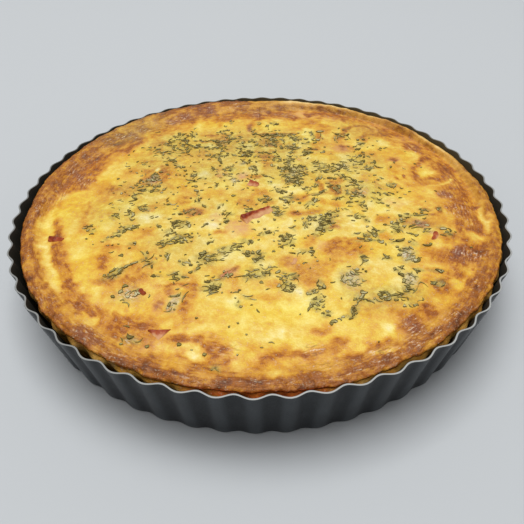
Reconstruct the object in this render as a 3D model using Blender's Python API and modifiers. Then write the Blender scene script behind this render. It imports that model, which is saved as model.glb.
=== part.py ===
"""A baked quiche in its fluted tin: the tin, the pastry case, the custard filling and the ham.

Units are metres and +Z is up. The origin is the middle of the tin's underside, which stands on
the ground, and -Y is the front.
"""

import math

import bpy
from mathutils import Matrix, Vector

# Tin
TIN_RADIUS = 0.140            # outermost point of the fluted rim
TIN_BASE_RADIUS = 0.1327      # outermost point of the fluted foot
TIN_HEIGHT = 0.037
TIN_SHEET = 0.0008            # thickness of the steel
TIN_FOOT_BEND = 0.0012        # size of the bend between wall and floor
FLUTES = 58
FLUTE_START = math.radians(-91.40)
RIM_FLUTE = 0.0021            # from the crest of a flute to its crease, at the rim
BASE_FLUTE = 0.0012           # the same at the foot
STEPS_PER_FLUTE = 4

# Pastry case
GAP = 0.0003                  # between pieces that touch
FOOD_SHIFT = 0.0010           # the food sits off the tin's middle, towards +X
CASE_BOTTOM = TIN_SHEET + GAP
CASE_FLOOR = 0.0040           # thickness of the pastry's floor
CASE_BASE_RADIUS = 0.1284
CASE_BASE_BEND = 0.0026       # size of the bend between the case's side and its underside
CASE_RADIUS = 0.1333          # middling radius of the lip's edge
CASE_WALL = 0.0076            # thickness of the wall at the custard's level
CASE_SHOULDER = 0.0310        # height of the outer side's widest place, under the lip
CASE_INNER_TOP = 0.0330       # height at which the sloping inner wall turns upright
CASE_INNER_BASE_RADIUS = 0.1195
CASE_FLUTE = 0.0016           # flutes that the tin has pressed into the pastry's side
CASE_LIP_FLUTE = 0.0003       # what is left of them at the lip's edge
LIP_SHARES = (0.0, 0.34, 0.68, 1.0)
LIP_DROP = 0.0010             # from the lip's crest down to its edge
LIP_RIPPLE = 0.00025          # small unevenness of the crest's height

# The pastry's lip round the case: angle in degrees, radius at which it starts to rise out of
# the custard, radius and height of its crest, radius of its edge, radius of the side under it,
# and depth of the shallow channel along its inside
LIP = (
    (-180.0, 0.1240, 0.1312, 0.0366, 0.1350, 0.1343, 0.0009),
    (-160.0, 0.1238, 0.1308, 0.0363, 0.1347, 0.1345, 0.0009),
    (-135.0, 0.1230, 0.1298, 0.0358, 0.1341, 0.1350, 0.0006),
    (-90.0, 0.1225, 0.1292, 0.0354, 0.1340, 0.1353, 0.0003),
    (-45.0, 0.1230, 0.1295, 0.0358, 0.1340, 0.1352, 0.0004),
    (-20.0, 0.1250, 0.1300, 0.0365, 0.1340, 0.1348, 0.0008),
    (0.0, 0.1256, 0.1300, 0.0368, 0.1334, 0.1344, 0.0008),
    (20.0, 0.1274, 0.1304, 0.0374, 0.1330, 0.1342, 0.0005),
    (45.0, 0.1283, 0.1308, 0.0384, 0.1329, 0.1340, 0.0002),
    (70.0, 0.1262, 0.1306, 0.0384, 0.1327, 0.1340, 0.0),
    (90.0, 0.1150, 0.1292, 0.0383, 0.1326, 0.1340, 0.0),
    (105.0, 0.1135, 0.1300, 0.0384, 0.1346, 0.1342, 0.0),
    (120.0, 0.1130, 0.1314, 0.0386, 0.1364, 0.1345, 0.0),
    (150.0, 0.1180, 0.1316, 0.0379, 0.1362, 0.1345, 0.0002),
    (180.0, 0.1240, 0.1312, 0.0366, 0.1350, 0.1343, 0.0009),
)
CHANNEL_WIDTH = 0.0030
CHANNEL_INSET = 0.0020        # the channel's middle lies this far inside the lip's start

# Custard filling
FILLING_EDGE = 0.0345         # mean height of the custard at its edge
FILLING_DOME = 0.0026         # rise from the edge to the middle
FILLING_TILT = 0.0006         # the custard's edge is this much higher at the front
RING_SHARES = (0.15, 0.32, 0.48, 0.62, 0.75, 0.86, 0.94, 1.0)
FILLING_STEPS = 96

# Swells and hollows of the custard's skin: x, y, spread, rise
SWELLS = (
    (-0.082, 0.072, 0.034, 0.0014),
    (-0.020, 0.108, 0.030, 0.0012),
    (0.052, 0.092, 0.028, 0.0010),
    (0.104, 0.034, 0.026, 0.0012),
    (0.104, -0.050, 0.022, 0.0013),
    (0.064, -0.106, 0.020, 0.0012),
    (-0.060, -0.066, 0.020, 0.0013),
    (-0.062, 0.026, 0.018, 0.0010),
    (0.040, -0.052, 0.020, 0.0010),
    (-0.098, -0.048, 0.022, 0.0010),
    (0.014, -0.098, 0.030, -0.0014),
    (-0.108, -0.004, 0.020, -0.0012),
    (0.078, -0.004, 0.024, -0.0010),
    (-0.036, 0.082, 0.020, -0.0010),
    (0.022, 0.056, 0.024, -0.0008),
    (-0.030, -0.030, 0.022, -0.0006),
)

# Ham: name, x, y, length, width, thickness, turn and tilt in degrees, rise over the skin, corners
HAM = (
    ("ham_centre", -0.0010, -0.0180, 0.0190, 0.0075, 0.0030, 33.0, 24.0, 0.0008, 4),
    ("ham_back", -0.0034, 0.0135, 0.0068, 0.0056, 0.0028, -28.0, 12.0, 0.0006, 4),
    ("ham_near", 0.0175, -0.0585, 0.0048, 0.0028, 0.0022, 75.0, 12.0, 0.0, 4),
    ("ham_mid", -0.0160, -0.0665, 0.0086, 0.0026, 0.0022, 38.0, 12.0, 0.0, 4),
    ("ham_front", -0.0450, -0.1040, 0.0125, 0.0082, 0.0028, 180.0, -14.0, 0.0004, 3),
    ("ham_left", -0.1098, -0.0360, 0.0088, 0.0038, 0.0026, -14.0, 10.0, 0.0005, 4),
    ("ham_right", 0.0935, -0.0400, 0.0072, 0.0036, 0.0026, 70.0, 12.0, 0.0005, 4),
    ("ham_low", -0.0560, -0.0790, 0.0046, 0.0028, 0.0024, -48.0, 14.0, 0.0004, 4),
)
HAM_TAPER = 0.72              # width of a piece's far end against its near end
HAM_BEVEL = 0.0006
HAM_SETTING = 0.0004          # every piece is raised by this out of the skin
HAM_POCKET_RISE = 0.004       # how far a pocket's cutter stands out of the custard


def clear_scene():
    """Removes whatever the scene held."""
    for old in list(bpy.data.objects):
        bpy.data.objects.remove(old, do_unlink=True)


def new_collection(name):
    """A collection under the scene's own."""
    collection = bpy.data.collections.new(name)
    bpy.context.scene.collection.children.link(collection)
    return collection


def material(name, colour, roughness, metallic=0.0):
    """A Principled material of one colour."""
    made = bpy.data.materials.new(name)
    made.use_nodes = True
    shader = made.node_tree.nodes["Principled BSDF"]
    shader.inputs["Base Color"].default_value = (*colour, 1.0)
    shader.inputs["Roughness"].default_value = roughness
    shader.inputs["Metallic"].default_value = metallic
    made.diffuse_color = (*colour, 1.0)
    return made


def settle(source, name, collection, finish):
    """Turns an object with its modifiers into a plain mesh object and removes the first."""
    graph = bpy.context.evaluated_depsgraph_get()
    mesh = bpy.data.meshes.new_from_object(source.evaluated_get(graph))
    mesh.name = name
    bpy.data.objects.remove(source, do_unlink=True)
    made = bpy.data.objects.new(name, mesh)
    mesh.materials.clear()
    mesh.materials.append(finish)
    collection.objects.link(made)
    return made


def turned(name, profile, steps, rule, collection, finish):
    """Turns a profile of (radius, height) points about +Z, then moves its points by a rule."""
    mesh = bpy.data.meshes.new(name + "_profile")
    points = [(radius, 0.0, height) for radius, height in profile]
    edges = [(index, index + 1) for index in range(len(points) - 1)]
    mesh.from_pydata(points, edges, [])
    outline = bpy.data.objects.new(name + "_profile", mesh)
    bpy.context.scene.collection.objects.link(outline)
    turn = outline.modifiers.new("turn", "SCREW")
    turn.axis = "Z"
    turn.angle = math.tau
    turn.steps = steps
    turn.render_steps = steps
    turn.use_merge_vertices = True
    turn.merge_threshold = 0.00005
    made = settle(outline, name, collection, finish)
    for vertex in made.data.vertices:
        vertex.co = rule(vertex.co)
    made.data.shade_smooth()
    made.data.set_sharp_from_angle(angle=math.radians(35.0))
    return made


def blend(low, high, value):
    """How far a value lies from low to high, from 0 to 1."""
    return min(max((value - low) / (high - low), 0.0), 1.0)


def flute(angle):
    """The tin's fluting round its rim: 1 on a crest, -1 in a crease."""
    return math.cos(FLUTES * (angle - FLUTE_START))


def tin_point(point):
    """Presses the flutes into a smooth tin."""
    radius = math.hypot(point.x, point.y)
    angle = math.atan2(point.y, point.x)
    depth = BASE_FLUTE + (RIM_FLUTE - BASE_FLUTE) * point.z / TIN_HEIGHT
    edge = TIN_BASE_RADIUS - BASE_FLUTE / 2.0 - 2.0 * TIN_FOOT_BEND
    moved = radius + 0.5 * depth * flute(angle) * blend(0.0, edge, radius)
    return Vector((moved * math.cos(angle), moved * math.sin(angle), point.z))


def make_tin(collection, finish):
    """The tin: a fluted wall that flares upwards from a flat floor, of one thin sheet."""
    rim = TIN_RADIUS - RIM_FLUTE / 2.0
    foot = TIN_BASE_RADIUS - BASE_FLUTE / 2.0
    profile = (
        (rim, TIN_HEIGHT),
        (foot + TIN_FOOT_BEND * (rim - foot) / TIN_HEIGHT, TIN_FOOT_BEND),
        (foot - TIN_FOOT_BEND, 0.0),
        (0.0, 0.0),
    )
    tin = turned("tin", profile, FLUTES * STEPS_PER_FLUTE, tin_point, collection, finish)
    sheet = tin.modifiers.new("sheet", "SOLIDIFY")
    sheet.thickness = TIN_SHEET
    sheet.offset = -1.0
    sheet.use_even_offset = True
    sheet.use_quality_normals = True
    return tin


def lip_form(angle):
    """The lip's measures at an angle, between the rows of its table."""
    degrees = math.degrees(angle)
    for low, high in zip(LIP, LIP[1:]):
        if degrees <= high[0]:
            share = blend(low[0], high[0], degrees)
            return [a + (b - a) * share for a, b in zip(low[1:], high[1:])]
    return list(LIP[-1][1:])


def join_radius(angle):
    """Radius of the upright seam between custard and pastry."""
    start = lip_form(angle)[0]
    return max(CASE_RADIUS - CASE_WALL, start)


def custard_level(x, y):
    """Height of the custard's gently domed skin, with its swells and hollows."""
    radius = math.hypot(x - FOOD_SHIFT, y)
    share = min(radius / (CASE_RADIUS - CASE_WALL), 1.0)
    height = FILLING_EDGE + FILLING_DOME * (1.0 - share ** 4)
    height -= FILLING_TILT * share * y / (CASE_RADIUS - CASE_WALL)
    for swell_x, swell_y, spread, rise in SWELLS:
        away = math.hypot(x - swell_x, y - swell_y) / spread
        height += rise * math.exp(-away * away)
    return height


def skin(x, y):
    """Height of the quiche's top: custard, channel and lip."""
    radius = math.hypot(x - FOOD_SHIFT, y)
    angle = math.atan2(y, x - FOOD_SHIFT)
    start, crest, crest_height, edge, _, channel = lip_form(angle)
    height = custard_level(x, y)
    away = (radius - start + CHANNEL_INSET) / CHANNEL_WIDTH
    height -= channel * math.exp(-away * away)
    crest_height += LIP_RIPPLE * (math.sin(11.0 * angle + 0.4) + math.sin(17.0 * angle + 1.9))
    rise = blend(start, crest, radius)
    height += (crest_height - height) * rise * rise * (3.0 - 2.0 * rise)
    return height - LIP_DROP * blend(crest, edge, radius) ** 2


def on_food(radius, angle):
    """A place on the ground plane by its radius and angle about the food's own middle."""
    return radius * math.cos(angle) + FOOD_SHIFT, radius * math.sin(angle)


def case_point(point):
    """Gives the pastry its uneven lip and the flutes that the tin has pressed into its side."""
    radius = math.hypot(point.x, point.y)
    angle = math.atan2(point.y, point.x)
    inner_top = CASE_RADIUS - CASE_WALL
    _, _, _, edge, side, _ = lip_form(angle)
    seam = join_radius(angle)
    if point.z > CASE_INNER_TOP:
        share = blend(inner_top, CASE_RADIUS, radius)
        moved = seam + share * (edge - seam) + 0.5 * CASE_LIP_FLUTE * flute(angle) * share
        x, y = on_food(moved, angle)
        return Vector((x, y, skin(x, y)))
    if radius > inner_top + GAP / 10.0:
        moved = radius + (side - CASE_RADIUS) * blend(CASE_BOTTOM, CASE_SHOULDER, point.z)
        moved += 0.5 * CASE_FLUTE * flute(angle)
    else:
        moved = radius + (seam - inner_top) * blend(CASE_INNER_BASE_RADIUS, inner_top, radius)
    x, y = on_food(moved, angle)
    return Vector((x, y, point.z))


def make_case(collection, finish):
    """The pastry case: a floor, a sloping wall and a rounded lip that carries on the skin."""
    inner_top = CASE_RADIUS - CASE_WALL
    floor_top = CASE_BOTTOM + CASE_FLOOR
    profile = [
        (0.0, floor_top),
        (CASE_INNER_BASE_RADIUS, floor_top),
        (inner_top, CASE_INNER_TOP),
    ]
    profile += [(inner_top + share * CASE_WALL, FILLING_EDGE) for share in LIP_SHARES]
    profile += [
        (CASE_RADIUS, CASE_SHOULDER),
        (CASE_BASE_RADIUS, CASE_BOTTOM + CASE_BASE_BEND),
        (CASE_BASE_RADIUS - CASE_BASE_BEND + GAP, CASE_BOTTOM),
        (0.0, CASE_BOTTOM),
    ]
    steps = FLUTES * STEPS_PER_FLUTE
    return turned("crust", profile, steps, case_point, collection, finish)


def filling_point(point):
    """Gives the custard its uneven skin and fits it into the case."""
    radius = math.hypot(point.x, point.y)
    angle = math.atan2(point.y, point.x)
    inner_top = CASE_RADIUS - CASE_WALL
    fitted = blend(CASE_INNER_BASE_RADIUS, inner_top - GAP, radius)
    x, y = on_food(radius + (join_radius(angle) - inner_top) * fitted, angle)
    height = skin(x, y) if point.z > CASE_INNER_TOP else point.z
    return Vector((x, y, height))


def make_filling(collection, finish):
    """The custard: a solid disc under a gently domed, uneven skin."""
    edge = CASE_RADIUS - CASE_WALL - GAP
    bottom = CASE_BOTTOM + CASE_FLOOR + GAP
    profile = [(0.0, FILLING_EDGE)]
    profile += [(share * edge, FILLING_EDGE) for share in RING_SHARES]
    profile += [(edge, CASE_INNER_TOP), (CASE_INNER_BASE_RADIUS - GAP, bottom), (0.0, bottom)]
    return turned("filling", profile, FILLING_STEPS, filling_point, collection, finish)


def ham_block(name, row, grow, rise):
    """One cut of ham as a plain block, made larger all round by grow and higher by rise."""
    _, x, y, length, width, thickness, turn, tilt, lift, corners = row
    if corners == 3:
        bpy.ops.mesh.primitive_cylinder_add(vertices=3, radius=0.5, depth=1.0)
    else:
        bpy.ops.mesh.primitive_cube_add(size=1.0)
    block = bpy.context.active_object
    block.name = name
    block.data.name = name
    size = Vector((length + 2.0 * grow, width + 2.0 * grow, thickness + 2.0 * grow + rise))
    block.data.transform(Matrix.Diagonal((*size, 1.0)))
    if corners == 4:
        for vertex in block.data.vertices:
            if vertex.co.x > 0.0:
                vertex.co.y *= HAM_TAPER
    block.data.transform(Matrix.Translation((0.0, 0.0, rise / 2.0)))
    lean = Matrix.Rotation(math.radians(turn), 4, "Z") @ Matrix.Rotation(math.radians(tilt), 4, "X")
    height = skin(x, y) + lift - thickness / 2.0 + HAM_SETTING
    block.data.transform(Matrix.Translation((x, y, height)) @ lean)
    return block


def place(block, collection, finish):
    """Moves an object into a collection and gives it a material."""
    for home in list(block.users_collection):
        home.objects.unlink(block)
    collection.objects.link(block)
    block.data.materials.clear()
    block.data.materials.append(finish)


def make_ham(row, filling, collection, cutters, finish):
    """One cut of ham, and the pocket in the custard that it lies in."""
    name = row[0]
    piece = ham_block(name, row, 0.0, 0.0)
    place(piece, collection, finish)
    round_edges = piece.modifiers.new("round_edges", "BEVEL")
    round_edges.width = HAM_BEVEL
    round_edges.segments = 2
    round_edges.limit_method = "ANGLE"
    piece.data.shade_smooth()
    cutter = ham_block(name + "_pocket", row, GAP, HAM_POCKET_RISE)
    place(cutter, cutters, finish)
    cutter.hide_render = True
    cutter.display_type = "WIRE"
    pocket = filling.modifiers.new(name + "_pocket", "BOOLEAN")
    pocket.operation = "DIFFERENCE"
    pocket.solver = "EXACT"
    pocket.object = cutter


def main():
    clear_scene()
    quiche = new_collection("quiche")
    cutters = new_collection("cutters")
    steel = material("tin", (0.030, 0.033, 0.035), 0.45, 0.6)
    pastry = material("crust", (0.66, 0.40, 0.15), 0.65)
    custard = material("filling", (0.86, 0.62, 0.17), 0.40)
    meat = material("ham", (0.62, 0.20, 0.13), 0.42)
    make_tin(quiche, steel)
    make_case(quiche, pastry)
    filling = make_filling(quiche, custard)
    for row in HAM:
        make_ham(row, filling, quiche, cutters, meat)


main()
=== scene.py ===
import math

import bpy
import numpy as np
from mathutils import Euler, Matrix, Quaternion, Vector


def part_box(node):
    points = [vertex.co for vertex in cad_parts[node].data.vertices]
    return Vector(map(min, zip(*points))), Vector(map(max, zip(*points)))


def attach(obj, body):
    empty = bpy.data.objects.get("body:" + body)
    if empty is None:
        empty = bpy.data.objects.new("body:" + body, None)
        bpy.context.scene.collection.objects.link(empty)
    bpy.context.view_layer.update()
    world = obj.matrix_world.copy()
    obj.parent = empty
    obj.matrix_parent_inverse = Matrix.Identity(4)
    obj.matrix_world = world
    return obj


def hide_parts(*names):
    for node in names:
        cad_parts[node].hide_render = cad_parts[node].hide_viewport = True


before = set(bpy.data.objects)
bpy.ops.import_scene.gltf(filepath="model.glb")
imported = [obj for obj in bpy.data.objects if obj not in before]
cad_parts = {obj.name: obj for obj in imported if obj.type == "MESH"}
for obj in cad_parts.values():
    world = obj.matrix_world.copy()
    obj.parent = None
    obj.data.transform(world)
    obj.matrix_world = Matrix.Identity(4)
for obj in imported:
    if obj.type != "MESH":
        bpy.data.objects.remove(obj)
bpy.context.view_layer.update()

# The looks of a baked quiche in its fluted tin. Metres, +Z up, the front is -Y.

# ---------------------------------------------------------------------------
# Sizes. The boxes come from the frame; the rest are the CAD's own measures.
# ---------------------------------------------------------------------------
TIN_LOW, TIN_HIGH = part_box("tin")
MIDDLE = (TIN_LOW + TIN_HIGH) / 2.0
CASE_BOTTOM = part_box("crust")[0].z
FILLING_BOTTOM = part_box("filling")[0].z

TIN_RADIUS = 0.140            # outermost point of the fluted rim
TIN_BASE_RADIUS = 0.1327      # outermost point of the fluted foot
TIN_HEIGHT = 0.037
TIN_SHEET = 0.0008
TIN_FOOT_BEND = 0.0012        # size of the bend between wall and floor
FLUTES = 58
FLUTE_START = math.radians(-91.40)
RIM_FLUTE = 0.0021            # from the crest of a flute to its crease, at the rim
BASE_FLUTE = 0.0012           # the same at the foot

FOOD_SHIFT = 0.0010           # the food sits off the tin's middle, towards +X
CASE_FLOOR = 0.0040
CASE_BASE_RADIUS = 0.1284
CASE_BASE_BEND = 0.0026
CASE_RADIUS = 0.1333          # middling radius of the lip's edge
CASE_WALL = 0.0076
CASE_SHOULDER = 0.0310        # height of the side's widest place, under the lip
CASE_INNER_TOP = 0.0330       # height at which the sloping inner wall turns upright
CASE_INNER_BASE_RADIUS = 0.1195
CASE_FLUTE = 0.0016           # flutes that the tin has pressed into the pastry's side
CASE_LIP_FLUTE = 0.0003       # what is left of them at the lip's edge
LIP_DROP = 0.0010             # from the lip's crest down to its edge
LIP_RIPPLE = 0.00025          # small unevenness of the crest's height
CHANNEL_WIDTH = 0.0030
CHANNEL_INSET = 0.0020        # the channel's middle lies this far inside the lip's start
RIPPLES = ((11.0, 0.4), (17.0, 1.9))      # waves of the crest: number round it, phase
CREASING = 0.10               # how much sharper the flutes' creases are than their crests

# The lip round the case: angle in degrees, radius of its start, radius and height of its crest,
# radius of its edge, radius of the side under it, depth of the channel inside it
LIP = (
    (-180.0, 0.1240, 0.1312, 0.0366, 0.1350, 0.1343, 0.0009),
    (-160.0, 0.1238, 0.1308, 0.0363, 0.1347, 0.1345, 0.0009),
    (-135.0, 0.1230, 0.1298, 0.0358, 0.1341, 0.1350, 0.0006),
    (-90.0, 0.1225, 0.1292, 0.0354, 0.1340, 0.1353, 0.0003),
    (-45.0, 0.1230, 0.1295, 0.0358, 0.1340, 0.1352, 0.0004),
    (-20.0, 0.1250, 0.1300, 0.0365, 0.1340, 0.1348, 0.0008),
    (0.0, 0.1256, 0.1300, 0.0368, 0.1334, 0.1344, 0.0008),
    (20.0, 0.1274, 0.1304, 0.0374, 0.1330, 0.1342, 0.0005),
    (45.0, 0.1283, 0.1308, 0.0384, 0.1329, 0.1340, 0.0002),
    (70.0, 0.1262, 0.1306, 0.0384, 0.1327, 0.1340, 0.0),
    (90.0, 0.1150, 0.1292, 0.0383, 0.1326, 0.1340, 0.0),
    (105.0, 0.1135, 0.1300, 0.0384, 0.1346, 0.1342, 0.0),
    (120.0, 0.1130, 0.1314, 0.0386, 0.1364, 0.1345, 0.0),
    (150.0, 0.1180, 0.1316, 0.0379, 0.1362, 0.1345, 0.0002),
    (180.0, 0.1240, 0.1312, 0.0366, 0.1350, 0.1343, 0.0009),
)

FILLING_RADIUS = CASE_RADIUS - CASE_WALL
FILLING_EDGE = 0.0345         # mean height of the custard at its edge
FILLING_DOME = 0.0026         # rise from the edge to the middle
FILLING_TILT = 0.0006         # the custard's edge is this much higher at the front

# Swells and hollows of the custard's skin: x, y, spread, rise
SWELLS = (
    (-0.082, 0.072, 0.034, 0.0014), (-0.020, 0.108, 0.030, 0.0012), (0.052, 0.092, 0.028, 0.0010),
    (0.104, 0.034, 0.026, 0.0012), (0.104, -0.050, 0.022, 0.0013), (0.064, -0.106, 0.020, 0.0012),
    (-0.060, -0.066, 0.020, 0.0013), (-0.062, 0.026, 0.018, 0.0010), (0.040, -0.052, 0.020, 0.0010),
    (-0.098, -0.048, 0.022, 0.0010), (0.014, -0.098, 0.030, -0.0014), (-0.108, -0.004, 0.020, -0.0012),
    (0.078, -0.004, 0.024, -0.0010), (-0.036, 0.082, 0.020, -0.0010), (0.022, 0.056, 0.024, -0.0008),
    (-0.030, -0.030, 0.022, -0.0006),
)

# ---------------------------------------------------------------------------
# Bakes of the top. Tones: 0 cream, 1 pale yellow, 2 bright yellow, 3 golden, 4 tan, 5 brown,
# 6 dark brown. Tables of places are in millimetres from the tin's middle, and tables round the
# edge are in degrees from +X. A row that lies turned ends with its turn in degrees.
# ---------------------------------------------------------------------------
MM = 0.001
TONES = 6.0
BASE_TONE = 2.0
RING_TONE = 4.5
RING_STRENGTH = 0.92
RING_FADE = (-4.0, 5.0)       # the ring sets in over this stretch, in millimetres
BROWNED_TONES = (3.0, 4.6)    # between these, the skin comes to count as browned
WRINKLED_TONES = (3.4, 5.0)   # and as wrinkled
PATCH_STRENGTH = 0.95
PATCH_REACH = 1.22            # a patch fades out at about this many times its half sizes
PATCH_FALL = 1.5              # how sharply a patch ends; a streak ends by the next
STREAK_FALL = 2.2

# Where the browned ring round the edge begins: angle, distance
RING = (
    (0, 107), (12, 110), (25, 116), (45, 117), (60, 118), (75, 108), (90, 103), (105, 104),
    (115, 107), (125, 103), (135, 103), (145, 101), (155, 104), (165, 106), (172, 112),
    (178, 119), (186, 125), (205, 126), (215, 124), (232, 117), (245, 118), (262, 119),
    (272, 121), (285, 122), (298, 117), (315, 117), (330, 112), (345, 112),
)

# Tone of the pastry's lip: angle, tone. It sets in over the upper part of the lip's inner slope.
LIP_TONES = (
    (0, 4.0), (12, 3.4), (22, 1.8), (34, 0.8), (50, 0.4), (66, 0.4), (78, 1.0), (88, 2.2),
    (96, 4.8), (125, 4.4), (145, 4.2), (160, 4.2), (180, 4.8), (200, 5.0), (215, 4.7),
    (235, 4.7), (250, 4.9), (270, 5.2), (290, 4.9), (310, 4.6), (325, 4.2), (345, 3.9),
)
LIP_TONE_START = 0.6          # share of that slope at which it sets in
LIP_TONE_LEAD = 0.0008        # less this

# How much darker the lip's outer slope is painted, as painted shade: angle, tones. It sets in just
# outside the crest.
OUTER_SLOPE_SHADE = ((0, 0.4), (20, 0.8), (40, 1.0), (75, 1.0), (90, 0.9), (110, 0.6), (340, 0.2))
SLOPE_START, SLOPE_END = 0.0003, 0.0016

# How much the lip looks like bare pastry: angle, share. That sets in round the lip's start.
BARE_PASTRY = ((0, 0.5), (15, 1.0), (80, 1.0), (100, 0.4), (180, 0.3), (350, 0.3))
PASTRY_LEAD, PASTRY_LAG = 0.0005, 0.0015

# How far juice has caramelised on the side just under the lip: angle, share
UNDER_LIP = (
    (0, 0.3), (40, 0.2), (150, 0.2), (180, 0.4), (220, 0.4), (245, 0.1), (255, 0.3), (259, 0.9),
    (279, 1.0), (284, 0.3), (305, 0.2), (330, 0.3),
)

# Where the tin's inside is painted brown, as a painted reflection of the food: angle, share
INSIDE_REFLECTION = ((0, 0.2), (20, 0.9), (50, 1.0), (100, 0.8), (120, 0.5), (140, 0.1), (330, 0.1))

# How much of the rim is painted light grey: its bare metal edge, with a painted highlight that is
# strongest at the front: angle, share
RIM_BARE_AND_HIGHLIGHT = (
    (0, 0.6), (30, 0.3), (60, 0.1), (120, 0.1), (170, 0.4), (200, 0.5), (235, 0.5), (255, 0.8),
    (275, 0.9), (300, 0.8), (340, 0.7),
)

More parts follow.
